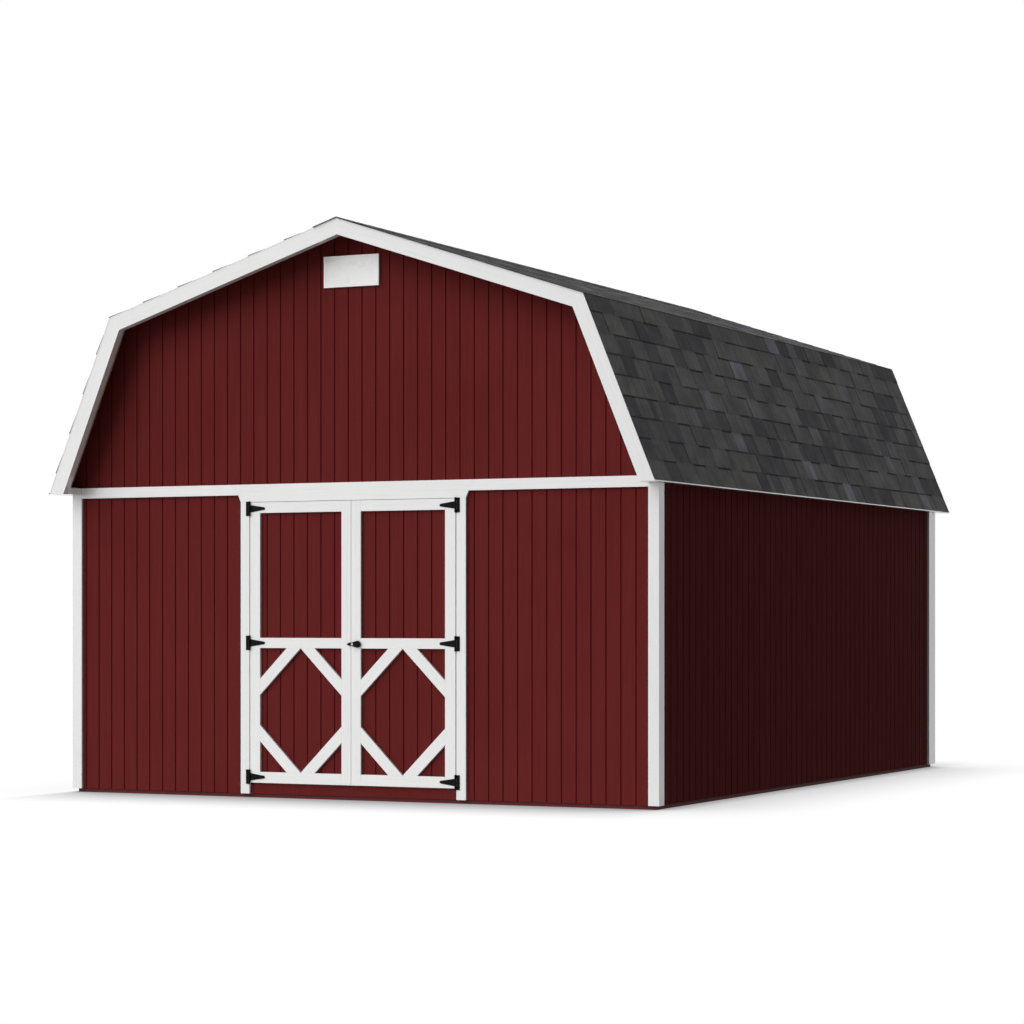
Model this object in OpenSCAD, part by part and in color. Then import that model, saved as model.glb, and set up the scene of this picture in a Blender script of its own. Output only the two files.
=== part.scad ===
// Gambrel barn, stud framed, with grooved siding and a pair of hinged doors.
// Sizes are millimetres. X runs across the front, Y from front to back, Z up.
// The origin is on the ground, under the middle of the floor.

/* [Building] */
// Width over the wall frames
barn_w = 4267; // [3900:1:4800]
// Length over the wall frames
barn_l = 5486; // [4600:1:7300]
// Height of the top of the wall plates above the ground
plate_z = 2057; // [1950:1:2400]

/* [Floor] */
// Depth of the floor joists
joist_h = 89; // [80:1:95]
// Thickness of a joist
joist_t = 38; // [30:1:60]
// Spacing of the joists
joist_spacing = 406; // [300:1:610]
// Thickness of the floor boards
floor_t = 19; // [15:1:20]
// Setback of the floor boards behind the doors
floor_setback = 8; // [6:1:20]

/* [Wall frames] */
// Thickness of a stud or plate
stud_t = 38; // [30:1:45]
// Depth of a stud or plate
stud_d = 89; // [70:1:140]
// Spacing of the studs
stud_spacing = 406; // [300:1:560]

/* [Siding] */
// Thickness of the siding sheets
siding_t = 11; // [9:0.5:16]
// Height of the lower edge of the siding
siding_z = 25; // [15:1:40]
// Spacing of the grooves
groove_pitch = 101.6; // [80:0.1:205]
// Width of a groove
groove_w = 9.5; // [6:0.5:13]
// Depth of a groove
groove_depth = 5; // [2:0.5:6]
// Place of the front groove nearest the middle
front_groove_x = -30.5; // [-50:0.5:50]
// Place of the side groove nearest the middle
side_groove_y = -6; // [-50:0.5:50]
// Gap between the wall sheets and the gable sheets
sheet_gap = 3; // [2:0.5:6]

/* [Trim] */
// Thickness of the trim boards
trim_t = 19; // [15:0.5:25]
// Width of a corner board on the front and the back
corner_w = 73; // [60:1:120]
// Width of the board behind a front corner on the side wall
front_return_w = 63.5; // [40:0.5:120]
// Width of the board beside a back corner on the side wall
back_return_w = 136; // [60:1:180]
// Height of the band over the siding
band_h = 70; // [50:1:110]
// Width of a door casing
casing_w = 67; // [50:1:110]
// Height of the trim over the doors
header_h = 116; // [100:1:150]
// Flare of each end of the trim over the doors
header_flare = 49; // [10:1:90]

/* [Roof] */
// Reach of the shingles past the wall frame at the eaves
eave_out = 91; // [70:0.5:130]
// Drop of the eaves below the wall plates
eave_drop = 45; // [30:1:80]
// Height of the eave boards seen under the shingles
eave_reveal = 9; // [5:0.5:15]
// Distance of the break inside the wall frame
break_inset = 392; // [300:0.5:480]
// Rise of the break over the wall plates
break_rise = 1122.5; // [900:0.5:1250]
// Rise of the ridge over the wall plates
ridge_rise = 1688; // [1500:1:1900]
// Reach of the roof past the wall frame at each gable
gable_overhang = 214; // [130:1:320]
// Thickness of the shingles at a butt
shingle_t = 4; // [3.5:0.5:12]
// Thickness of the shingles at the top of a course
shingle_thin_t = 2; // [1:0.5:3]
// Exposure of a course of shingles
shingle_exposure = 142; // [110:1:180]
// Reach of the shingles past the rake boards
shingle_reach = 8; // [4:1:15]
// Thickness of the ridge cap
cap_t = 3; // [2:0.5:10]
// Reach of the ridge cap down each side, measured level
cap_reach = 145; // [100:1:200]
// Thickness of the roof boards
roof_board_t = 12; // [9:0.5:16]

/* [Rafters] */
// Thickness of a rafter
rafter_t = 38; // [30:1:45]
// Depth of a rafter
rafter_d = 89; // [70:1:120]
// Spacing of the rafters
rafter_spacing = 610; // [400:1:620]
// Depth of the ridge board
ridge_board_h = 89; // [70:1:93]
// Thickness of the gusset plates at the break
gusset_t = 12; // [9:0.5:19]
// Reach of a gusset plate along each rafter
gusset_reach = 250; // [150:1:330]
// Setback of a gusset plate from the top of the rafters
gusset_setback = 15; // [5:1:30]
// Gap between sloping pieces that rest on each other
seat_gap = 0.2; // [0.1:0.1:0.5]

/* [Doors] */
// Width of the doorway
door_w = 1524; // [1300:1:1800]
// Height of the lower edge of the doors
door_z = 98; // [96:1:102]
// Running gap round the doors
door_gap = 6; // [5:0.5:10]
// Width of the stiles where the doors meet
meeting_stile_w = 68; // [50:1:100]
// Width of the stiles beside the hinges
hinge_stile_w = 75; // [50:1:110]
// Height of the top rail
top_rail_h = 67; // [50:1:100]
// Height of the middle rail
mid_rail_h = 67; // [50:1:100]
// Height of the middle of the middle rail above the ground
mid_rail_z = 1016; // [900:1:1150]
// Height of the bottom rail
bottom_rail_h = 72; // [50:1:100]
// Width of the slanted boards
brace_w = 74; // [50:1:100]
// Thickness of the frame behind a door
door_frame_t = 38; // [25:1:45]
// Width of the boards in the frame behind a door
door_frame_w = 89; // [60:1:110]
// Setback of that frame from the door's edges
door_frame_setback = 9; // [8:1:20]
// Gap between that frame and the floor boards
door_floor_gap = 8; // [6:1:15]

/* [Hinges] */
// Height of a hinge plate
hinge_h = 95; // [80:1:120]
// Width of a hinge plate, from the pin outwards
hinge_w = 28; // [20:1:40]
// Thickness of the hinge plates and straps
hinge_t = 4; // [3:0.5:6]
// Length of a strap, from the pin to its tip
strap_l = 116; // [90:1:160]
// Height of a strap at the pin
strap_root_h = 50; // [35:1:55]
// Height of a strap at its tip
strap_tip_h = 18; // [12:1:24]
// Radius of the knuckles
knuckle_r = 6.5; // [5.5:0.1:7.5]
// Length of each fixed knuckle
knuckle_l = 20; // [15:1:22]
// Gap between the knuckles along the pin
knuckle_gap = 1; // [0.5:0.1:2]
// Radius of the hinge pins
pin_r = 3; // [2:0.1:3.5]
// Radial clearance of the knuckles and the latch on their pins
pin_clear = 0.05; // [0.02:0.01:0.1]
// Distance of the pins in front of the trim
pin_out = 8.5; // [8:0.1:9]
// Distance of the outer hinges from the top and bottom of a door
hinge_inset = 38; // [30:1:60]

/* [Latch] */
// Distance of the latch spindle from the meeting line
latch_x = 18; // [17:0.5:30]
// Drop of the latch below the middle of the middle rail
latch_drop = 6; // [0:1:12]
// Radius of the rose under the latch handle
rose_r = 12; // [10:0.5:13]
// Thickness of the rose
rose_t = 6; // [4:0.5:10]
// Radius of the latch spindle
spindle_r = 6; // [4:0.5:8]
// Thickness of the latch handle
latch_t = 12; // [8:0.5:16]
// Gap between the rose and the latch handle
latch_gap = 0.3; // [0.1:0.1:1]
// Radius of the handle round the spindle
latch_neck_r = 13; // [11:0.5:14]
// Radius of the handle's grip
latch_grip_r = 22.5; // [16:0.5:28]
// Distance of the grip from the spindle
latch_grip_x = 34; // [28:0.5:50]
// Radius of the lock button
lock_r = 7; // [5:0.5:9]
// Height of the lock button over the handle
lock_t = 2; // [1:0.5:4]
// Length of the pointed plate on the other door
keeper_l = 28; // [20:0.5:40]
// Height of that plate at the meeting line
keeper_h = 25; // [16:0.5:32]
// Radius of its point
keeper_tip_r = 6; // [4:0.5:8]

/* [Gable vent] */
// Width of the vent
vent_w = 406; // [300:1:500]
// Height of the vent
vent_h = 203; // [150:1:260]
// Height of the middle of the vent over the wall plates
vent_rise = 1364; // [1200:1:1400]
// Width of the vent's border
vent_border = 16; // [8:1:30]
// Depth of the vent's panel behind its border
vent_recess = 6; // [2:0.5:10]

/* [Hidden] */
// Sides of a drawn circle
$fn = 48;
// Gap between like pieces that meet on the middle line
seam_gap = 2;
// Overrun of every cut
over = 5;

half_w = barn_w / 2;
half_l = barn_l / 2;
floor_z = joist_h + floor_t;
wall_face_x = half_w + siding_t;
wall_face_y = half_l + siding_t;
trim_face_x = wall_face_x + trim_t;
trim_face_y = wall_face_y + trim_t;
corner_x = trim_face_x - corner_w;

// Roof lines, and depths under the line of the shingles
eave_x = half_w + eave_out;
eave_z = plate_z - eave_drop;
shingle_foot_z = eave_z + eave_reveal;
break_x = half_w - break_inset;
break_z = plate_z + break_rise;
ridge_z = plate_z + ridge_rise;
lower_pitch = atan2(break_z - eave_z, eave_x - break_x);
upper_pitch = atan2(ridge_z - break_z, break_x);
lower_length = norm([eave_x - break_x, break_z - eave_z]);
upper_length = norm([break_x, ridge_z - break_z]);
roof_end_y = half_l + gable_overhang;
fly_y = roof_end_y - trim_t;
board_depth = shingle_t;
rafter_depth = board_depth + roof_board_t + seat_gap;
room_depth = rafter_depth + rafter_d;
thin_depth = shingle_t - shingle_thin_t;

// Doorway and doors
jamb_x = door_w / 2 + door_gap / 2;
doorway_top = plate_z - header_h;
leaf_in = door_gap / 2;
leaf_out = door_w / 2 - door_gap / 2;
leaf_top = doorway_top - door_gap;
panel_in = leaf_in + meeting_stile_w;
panel_out = leaf_out - hinge_stile_w;
panel_mid = (panel_in + panel_out) / 2;
mid_rail_low = mid_rail_z - mid_rail_h / 2;
mid_rail_high = mid_rail_z + mid_rail_h / 2;
hinge_x = door_w / 2;
pin_y = -trim_face_y - pin_out;
hinge_heights = [door_z + hinge_inset, mid_rail_z, leaf_top - hinge_inset];
latch_z = mid_rail_z - latch_drop;
latch_face_y = -trim_face_y - rose_t;

siding_red = "#5c2325";
trim_white = "#e3e2e0";
shingle_grey = "#3c3c3e";
timber = "#c9a878";
floor_ply = "#b89a6a";
iron_black = "#101112";
steel = "#c0c2c4";

// Half width of the lower slope at a height, at a depth under the shingle line
function lower_x(z, depth) =
    eave_x - (z - eave_z) / tan(lower_pitch) - depth / sin(lower_pitch);

// Height of the upper slope at a distance from the middle, at a depth under the shingle line
function upper_z(x, depth) = ridge_z - x * tan(upper_pitch) - depth / cos(upper_pitch);

// Corner between the two slopes, at a depth under the shingle line
function break_at(depth) =
    let (x = lower_x(ridge_z - depth / cos(upper_pitch), depth)
            / (1 - tan(upper_pitch) / tan(lower_pitch)))
    [x, upper_z(x, depth)];

// Points measured up the lower slope from the eave, and up the upper slope from the break
function up_lower(run, depth) =
    [eave_x - run * cos(lower_pitch) - depth * sin(lower_pitch),
     eave_z + run * sin(lower_pitch) - depth * cos(lower_pitch)];
function up_upper(run, depth) =
    [break_x - run * cos(upper_pitch) - depth * sin(upper_pitch),
     break_z + run * sin(upper_pitch) - depth * cos(upper_pitch)];

// Points of a list mirrored across the middle line, in the opposite order
function mirrored(points) =
    [for (i = [len(points) - 1 : -1 : 0]) [-points[i][0], points[i][1]]];

// Groove centres that fall inside a sheet
function groove_centres(start, end, shift) =
    [for (i = [ceil((start + groove_w - shift) / groove_pitch)
             : floor((end - groove_w - shift) / groove_pitch)])
        shift + i * groove_pitch];

// A square-edged piece between two corners
module block(low, high) {
    translate(low) cube(high - low);
}

// A profile drawn in x and z, carried from y = start to y = end
module along_y(start, end) {
    translate([0, end, 0]) rotate([90, 0, 0]) linear_extrude(end - start) children();
}

module both_sides() {
    children();
    mirror([1, 0, 0]) children();
}

module both_ends() {
    children();
    mirror([0, 1, 0]) children();
}

// Half of a roof layer between two depths: the lower slope from a level foot cut to the break
module lower_layer(top, bottom, foot_z) {
    polygon([
        [lower_x(foot_z, top), foot_z], break_at(top),
        break_at(bottom), [lower_x(foot_z, bottom), foot_z]
    ]);
}

// Half of a roof layer between two depths: the upper slope from the break to a plumb cut
module upper_layer(top, bottom, cut_x) {
    polygon([
        break_at(top), [cut_x, upper_z(cut_x, top)],
        [cut_x, upper_z(cut_x, bottom)], break_at(bottom)
    ]);
}

// The space under the roof, above a level, at a depth under the shingle line
module gable_outline(depth, foot_z) {
    half = [[lower_x(foot_z, depth), foot_z], break_at(depth), [0, upper_z(0, depth)]];
    polygon(concat(half, mirrored([half[0], half[1]])));
}

// A stud wall along x, with its outer face on y = 0
module stud_wall(start, end, low, high) {
    bays = ceil((end - start - stud_t) / stud_spacing);
    step = (end - start - stud_t) / bays;
    block([start, 0, low], [end, stud_d, low + stud_t]);
    block([start, 0, high - stud_t], [end, stud_d, high]);
    for (i = [0 : bays])
        block([start + i * step, 0, low], [start + i * step + stud_t, stud_d, high]);
}

// A grooved sheet along x, with its back on y = 0 and its grooves towards -y
module grooved_sheet(start, end, low, high, shift) {
    groove = [[-1, 0], [-1, 1], [1, 1], [1, 0]];
    translate([0, 0, low]) linear_extrude(high - low) polygon(concat(
        [[start, 0], [start, -siding_t]],
        [for (c = groove_centres(start, end, shift), p = groove)
            [c + p[0] * groove_w / 2, p[1] * groove_depth - siding_t]],
        [[end, -siding_t], [end, 0]]
    ));
}

// Floor
module floor_frame() color(timber) {
    bays = ceil((barn_l - joist_t) / joist_spacing);
    step = (barn_l - joist_t) / bays;
    both_sides() block([half_w - joist_t, -half_l, 0], [half_w, half_l, joist_h]);
    for (i = [0 : bays])
        block([-half_w, i * step - half_l, 0], [half_w, i * step + joist_t - half_l, joist_h]);
}

module floor_boards() color(floor_ply)
    block([-half_w, floor_setback - half_l, joist_h], [half_w, half_l, floor_z]);

// Wall frames
module right_wall_frame() color(timber)
    translate([half_w, 0, 0]) rotate([0, 0, 90]) stud_wall(-half_l, half_l, floor_z, plate_z);

module left_wall_frame() mirror([1, 0, 0]) right_wall_frame();

module back_wall_frame() color(timber)
    mirror([0, 1, 0]) translate([0, -half_l, 0])
        stud_wall(stud_d - half_w, half_w - stud_d, floor_z, plate_z);

module front_right_wall_frame() color(timber)
    translate([0, -half_l, 0]) stud_wall(jamb_x, half_w - stud_d, floor_z, plate_z - stud_t);

module front_left_wall_frame() mirror([1, 0, 0]) front_right_wall_frame();

module door_lintel() color(timber) {
    block([-jamb_x, -half_l, doorway_top], [jamb_x, stud_d - half_l, plate_z]);
    block([stud_d - half_w, -half_l, plate_z - stud_t], [half_w - stud_d, stud_d - half_l, plate_z]);
}

// Studs over the front wall, with a bay left open in the middle
module front_gable_frame() color(timber) {
    reach = break_at(room_depth + seat_gap)[0];
    count = floor(reach / stud_spacing + 1 / 2);
    difference() {
        intersection() {
            along_y(-half_l, stud_d - half_l) gable_outline(room_depth + seat_gap, plate_z);
            union() {
                block([-half_w, -half_l - over, plate_z - over], [half_w, half_l, plate_z + stud_t]);
                both_sides() for (i = [1 : count]) {
                    x = (i - 1 / 2) * stud_spacing;
                    block([x - stud_t / 2, -half_l - over, plate_z], [x + stud_t / 2, half_l, ridge_z]);
                }
            }
        }
        ridge_block(ridge_board_top);
    }
}

module back_gable_frame() mirror([0, 1, 0]) front_gable_frame();

// Rafters
rafter_bays = ceil((barn_l - rafter_t) / rafter_spacing);
rafter_step = (barn_l - rafter_t) / rafter_bays;

module rafter_row() {
    for (i = [0 : rafter_bays])
        along_y(i * rafter_step - half_l, i * rafter_step + rafter_t - half_l) children();
}

module right_lower_rafters() color(timber)
    rafter_row() lower_layer(rafter_depth, room_depth, plate_z);

module left_lower_rafters() mirror([1, 0, 0]) right_lower_rafters();

module right_upper_rafters() color(timber)
    rafter_row() upper_layer(rafter_depth, room_depth, rafter_t / 2);

module left_upper_rafters() mirror([1, 0, 0]) right_upper_rafters();

ridge_board_top = upper_z(rafter_t / 2, rafter_depth);

module ridge_block(top) {
    block([-rafter_t / 2, -fly_y, ridge_board_top - ridge_board_h], [rafter_t / 2, fly_y, top]);
}

module ridge_board() color(timber) ridge_block(ridge_board_top);

module gusset_outline() {
    outer = rafter_depth + gusset_setback;
    corner = break_at(outer);
    inner = break_at(room_depth);
    down = [cos(lower_pitch), -sin(lower_pitch)];
    up = [-cos(upper_pitch), sin(upper_pitch)];
    polygon([
        corner + gusset_reach * down, corner, corner + gusset_reach * up,
        inner + gusset_reach * up, inner + gusset_reach * down
    ]);
}

// One plate on the back of each rafter pair between the gables
module rafter_gussets() color(floor_ply)
    both_sides() for (i = [1 : rafter_bays - 1]) {
        y = i * rafter_step + rafter_t - half_l;
        along_y(y, y + gusset_t) gusset_outline();
    }

module lower_fly_rafters() color(trim_white)
    both_ends() both_sides() along_y(-fly_y, rafter_t - fly_y)
        lower_layer(rafter_depth, room_depth, eave_z);

module upper_fly_rafters() color(trim_white)
    both_ends() both_sides() along_y(-fly_y, rafter_t - fly_y)
        upper_layer(rafter_depth, room_depth, rafter_t / 2);

// Roof covering
module lower_roof_boards() color(floor_ply)
    both_sides() along_y(-fly_y, fly_y)
        lower_layer(board_depth, board_depth + roof_board_t, shingle_foot_z);

module upper_roof_boards() color(floor_ply)
    both_sides() along_y(-fly_y, fly_y) upper_layer(board_depth, board_depth + roof_board_t, seam_gap / 2);

module lower_shingles() color(shingle_grey) {
    courses = ceil(lower_length / shingle_exposure);
    steps = [for (i = [0 : courses - 1], high = [0, 1])
        high == 0 && i == 0 ? [lower_x(shingle_foot_z, 0), shingle_foot_z]
        : high == 0 ? up_lower(i * shingle_exposure, 0)
        : i < courses - 1 ? up_lower((i + 1) * shingle_exposure, thin_depth)
        : break_at(thin_depth)];
    both_sides() along_y(-roof_end_y - shingle_reach, roof_end_y + shingle_reach)
        polygon(concat(steps, [break_at(shingle_t), [lower_x(shingle_foot_z, shingle_t), shingle_foot_z]]));
}

module upper_shingles() color(shingle_grey) {
    courses = ceil(upper_length / shingle_exposure);
    cut_x = seam_gap / 2;
    steps = [for (i = [0 : courses - 1], high = [0, 1])
        high == 0 ? up_upper(i * shingle_exposure, 0)
        : i < courses - 1 ? up_upper((i + 1) * shingle_exposure, thin_depth)
        : [cut_x, upper_z(cut_x, thin_depth)]];
    both_sides() along_y(-roof_end_y - shingle_reach, roof_end_y + shingle_reach)
        polygon(concat(steps, [[cut_x, upper_z(cut_x, shingle_t)], break_at(shingle_t)]));
}

module ridge_cap() color(shingle_grey) {
    half = [[cap_reach, upper_z(cap_reach, 0)], [cap_reach, upper_z(cap_reach, -cap_t)]];
    top = [[0, upper_z(0, -cap_t)]];
    under = [[0, upper_z(0, 0)]];
    along_y(-roof_end_y - shingle_reach, roof_end_y + shingle_reach)
        polygon(concat(half, top, mirrored(half), under));
}

// Siding
sheet_top = plate_z - band_h / 2 - sheet_gap;

module right_siding() color(siding_red)
    translate([half_w, 0, 0]) rotate([0, 0, 90])
        grooved_sheet(-half_l, half_l, siding_z, plate_z, side_groove_y);

module left_siding() mirror([1, 0, 0]) right_siding();

module back_siding() color(siding_red)
    mirror([0, 1, 0]) translate([0, -half_l, 0])
        grooved_sheet(-wall_face_x, wall_face_x, siding_z, sheet_top, front_groove_x);

module front_left_siding() color(siding_red)
    translate([0, -half_l, 0])
        grooved_sheet(-wall_face_x, -jamb_x, siding_z, sheet_top, front_groove_x);

module front_right_siding() color(siding_red)
    translate([0, -half_l, 0])
        grooved_sheet(jamb_x, wall_face_x, siding_z, sheet_top, front_groove_x);

module front_gable_siding() color(siding_red) {
    seam_z = sheet_top + sheet_gap;
    difference() {
        intersection() {
            translate([0, -half_l, 0])
                grooved_sheet(-eave_x, eave_x, seam_z, ridge_z, front_groove_x);
            along_y(-wall_face_y - over, over - half_l) union() {
                gable_outline(rafter_depth, plate_z);
                translate([-wall_face_x, seam_z])
                    square([2 * wall_face_x, plate_z - seam_z + over]);
            }
        }
        ridge_block(ridge_z);
    }
}

module back_gable_siding() mirror([0, 1, 0]) front_gable_siding();

module door_sill_strip() color(siding_red)
    block([-jamb_x, -wall_face_y, siding_z], [jamb_x, -half_l, door_z - door_gap]);

// Trim
module lower_rake_boards() color(trim_white)
    both_ends() both_sides() along_y(-roof_end_y, -fly_y)
        lower_layer(board_depth, room_depth, eave_z);

module upper_rake_boards() color(trim_white)
    both_ends() both_sides() along_y(-roof_end_y, -fly_y)
        upper_layer(board_depth, room_depth, seam_gap / 2);

module eave_outline(inner_x) {
    polygon([
        [inner_x, eave_z], [lower_x(eave_z, rafter_depth), eave_z],
        [lower_x(plate_z, rafter_depth), plate_z], [inner_x, plate_z]
    ]);
}

// A strip along each wall, widened to a block in front of each corner
module eave_boards() color(trim_white) {
    end_y = fly_y - rafter_t;
    both_sides() {
        along_y(-end_y, end_y) eave_outline(wall_face_x);
        both_ends() along_y(-end_y, -trim_face_y) eave_outline(corner_x);
    }
}

module header_outline(half_low, half_high, low, high) {
    polygon([[-half_low, low], [half_low, low], [half_high, high], [-half_high, high]]);
}

header_low_x = jamb_x + casing_w;
header_high_x = header_low_x + header_flare;

module door_header_trim() color(trim_white)
    along_y(-trim_face_y, -wall_face_y)
        header_outline(header_low_x, header_high_x, doorway_top, plate_z);

module front_band() color(trim_white)
    difference() {
        block([-corner_x, -trim_face_y, plate_z - band_h], [corner_x, -wall_face_y, plate_z]);
        along_y(-trim_face_y - over, over - wall_face_y)
            header_outline(
                header_low_x, header_high_x + header_flare, doorway_top, plate_z + header_h
            );
    }

module back_band() color(trim_white)
    block([-corner_x, wall_face_y, plate_z - band_h], [corner_x, trim_face_y, plate_z]);

module corner_pair(return_w) {
    both_sides() translate([0, 0, siding_z]) linear_extrude(eave_z - siding_z) polygon([
        [trim_face_x, -trim_face_y], [trim_face_x, return_w - wall_face_y],
        [wall_face_x, return_w - wall_face_y], [wall_face_x, -wall_face_y],
        [corner_x, -wall_face_y], [corner_x, -trim_face_y]
    ]);
}

module front_corner_boards() color(trim_white) corner_pair(front_return_w);

module back_corner_boards() color(trim_white) mirror([0, 1, 0]) corner_pair(back_return_w);

module door_casings() color(trim_white)
    both_sides() block(
        [jamb_x, -trim_face_y, siding_z], [jamb_x + casing_w, -wall_face_y, doorway_top]
    );

module gable_vent() color(trim_white) {
    vent_z = plate_z + vent_rise;
    low = [-vent_w / 2, -trim_face_y, vent_z - vent_h / 2];
    high = [vent_w / 2, -wall_face_y, vent_z + vent_h / 2];
    difference() {
        block(low, high);
        block(
            [low[0] + vent_border, low[1] - over, low[2] + vent_border],
            [high[0] - vent_border, low[1] + vent_recess, high[2] - vent_border]
        );
    }
}

// Doors
module door_panel(start, end) {
    translate([0, -half_l, 0]) grooved_sheet(start, end, door_z, leaf_top, front_groove_x);
}

module left_door_panel() color(siding_red) door_panel(-leaf_out, -leaf_in);

module right_door_panel() color(siding_red) door_panel(leaf_in, leaf_out);

// Stiles, rails and four slanted boards, as one outline with its openings cut out
module door_trim_outline() {
    low = door_z + bottom_rail_h;
    run = panel_out - panel_mid;
    corner = run - brace_w / sin(45);
    difference() {
        translate([leaf_in, door_z]) square([leaf_out - leaf_in, leaf_top - door_z]);
        translate([panel_in, mid_rail_high])
            square([panel_out - panel_in, leaf_top - top_rail_h - mid_rail_high]);
        polygon([
            [panel_mid, low], [panel_out, low + run], [panel_out, mid_rail_low - run],
            [panel_mid, mid_rail_low], [panel_in, mid_rail_low - run], [panel_in, low + run]
        ]);
        for (x = [[panel_in, 1], [panel_out, -1]], z = [[low, 1], [mid_rail_low, -1]])
            polygon([[x[0], z[0]], [x[0] + x[1] * corner, z[0]], [x[0], z[0] + z[1] * corner]]);
    }
}

module right_door_trim() color(trim_white)
    along_y(-trim_face_y, -wall_face_y) door_trim_outline();

module left_door_trim() mirror([1, 0, 0]) right_door_trim();

// Boards laid flat behind the panel, round its edge and across the middle rail
module right_door_frame() color(timber) {
    low = [leaf_in + door_frame_setback, floor_z + door_floor_gap];
    high = [leaf_out - door_frame_setback, leaf_top - door_frame_setback];
    bay_w = high[0] - low[0] - 2 * door_frame_w;
    rail_low = mid_rail_z - door_frame_w / 2;
    rail_high = mid_rail_z + door_frame_w / 2;
    along_y(-half_l, door_frame_t - half_l) difference() {
        translate(low) square(high - low);
        translate([low[0] + door_frame_w, low[1] + door_frame_w])
            square([bay_w, rail_low - low[1] - door_frame_w]);
        translate([low[0] + door_frame_w, rail_high])
            square([bay_w, high[1] - door_frame_w - rail_high]);
    }
}

module left_door_frame() mirror([1, 0, 0]) right_door_frame();

// Hinges: a plate with two knuckles and the pin on each casing, a strap with a knuckle on each door
module hinge_plate() {
    plate_x = hinge_x + knuckle_r + knuckle_gap;
    block(
        [plate_x, -trim_face_y - hinge_t, -hinge_h / 2],
        [hinge_x + hinge_w, -trim_face_y, hinge_h / 2]
    );
    for (low = [-hinge_h / 2, hinge_h / 2 - knuckle_l]) {
        block([hinge_x, -trim_face_y - hinge_t, low], [plate_x, -trim_face_y, low + knuckle_l]);
        translate([hinge_x, pin_y, low]) cylinder(r = knuckle_r, h = knuckle_l);
    }
    translate([hinge_x, pin_y, -hinge_h / 2]) cylinder(r = pin_r, h = hinge_h);
}

module hinge_plates() color(iron_black)
    both_sides() for (z = hinge_heights) translate([0, 0, z]) hinge_plate();

module strap_outline() {
    tip_x = hinge_x - strap_l + strap_tip_h / 2;
    polygon([
        [hinge_x, -strap_root_h / 2], [hinge_x, strap_root_h / 2],
        [tip_x, strap_tip_h / 2], [tip_x, -strap_tip_h / 2]
    ]);
    translate([tip_x, 0]) circle(d = strap_tip_h);
}

module hinge_strap() {
    length = hinge_h - 2 * knuckle_l - 2 * knuckle_gap;
    difference() {
        union() {
            along_y(-trim_face_y - hinge_t, -trim_face_y) strap_outline();
            translate([hinge_x, pin_y, -length / 2]) cylinder(r = knuckle_r, h = length);
        }
        translate([hinge_x, pin_y, -hinge_h / 2]) cylinder(r = pin_r + pin_clear, h = hinge_h);
    }
}

module right_hinge_straps() color(iron_black)
    for (z = hinge_heights) translate([0, 0, z]) hinge_strap();

module left_hinge_straps() mirror([1, 0, 0]) right_hinge_straps();

// Latch: a turning handle on a rose, and a pointed plate on the other door
module latch_rose() color(iron_black)
    translate([latch_x, -trim_face_y, latch_z]) rotate([90, 0, 0]) difference() {
        cylinder(r = rose_r, h = rose_t);
        translate([0, 0, -over]) cylinder(r = spindle_r + pin_clear, h = rose_t + 2 * over);
    }

// Outline of the handle, with straight flanks that touch both rounds
module latch_outline() {
    lean = asin((latch_grip_r - latch_neck_r) / latch_grip_x);
    flank = [-sin(lean), cos(lean)];
    across = [flank[0], -flank[1]];
    grip = [latch_grip_x, 0];
    circle(r = latch_neck_r);
    translate(grip) circle(r = latch_grip_r);
    polygon([
        latch_neck_r * across, grip + latch_grip_r * across,
        grip + latch_grip_r * flank, latch_neck_r * flank
    ]);
}

module latch_handle() color(iron_black)
    translate([latch_x, latch_face_y - latch_gap, latch_z]) rotate([90, 0, 0]) {
        linear_extrude(latch_t) latch_outline();
        translate([0, 0, -rose_t]) cylinder(r = spindle_r, h = rose_t + latch_t);
        color(steel) cylinder(r = lock_r, h = latch_t + lock_t);
    }

module keeper_outline() {
    tip_x = -leaf_in - keeper_l + keeper_tip_r;
    polygon([
        [-leaf_in, -keeper_h / 2], [-leaf_in, keeper_h / 2],
        [tip_x, keeper_tip_r], [tip_x, -keeper_tip_r]
    ]);
    translate([tip_x, 0]) circle(r = keeper_tip_r);
}

module latch_keeper() color(iron_black)
    translate([0, 0, latch_z]) along_y(-trim_face_y - rose_t - latch_t / 2, -trim_face_y)
        keeper_outline();

floor_frame();
floor_boards();
left_wall_frame();
right_wall_frame();
back_wall_frame();
front_left_wall_frame();
front_right_wall_frame();
door_lintel();
front_gable_frame();
back_gable_frame();
left_lower_rafters();
right_lower_rafters();
left_upper_rafters();
right_upper_rafters();
ridge_board();
rafter_gussets();
lower_fly_rafters();
upper_fly_rafters();
lower_roof_boards();
upper_roof_boards();
lower_shingles();
upper_shingles();
ridge_cap();
left_siding();
right_siding();
back_siding();
back_gable_siding();
front_left_siding();
front_right_siding();
front_gable_siding();
door_sill_strip();
lower_rake_boards();
upper_rake_boards();
eave_boards();
front_band();
back_band();
front_corner_boards();
back_corner_boards();
door_header_trim();
door_casings();
gable_vent();
hinge_plates();
left_door_panel();
left_door_trim();
left_door_frame();
left_hinge_straps();
latch_keeper();
right_door_panel();
right_door_trim();
right_door_frame();
right_hinge_straps();
latch_rose();
latch_handle();
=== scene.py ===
"""Looks of the gambrel barn: painted siding and trim, shingles, door hardware and a louvred vent."""

import math
import random

import bmesh
import bpy
from mathutils import Matrix, Vector


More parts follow.
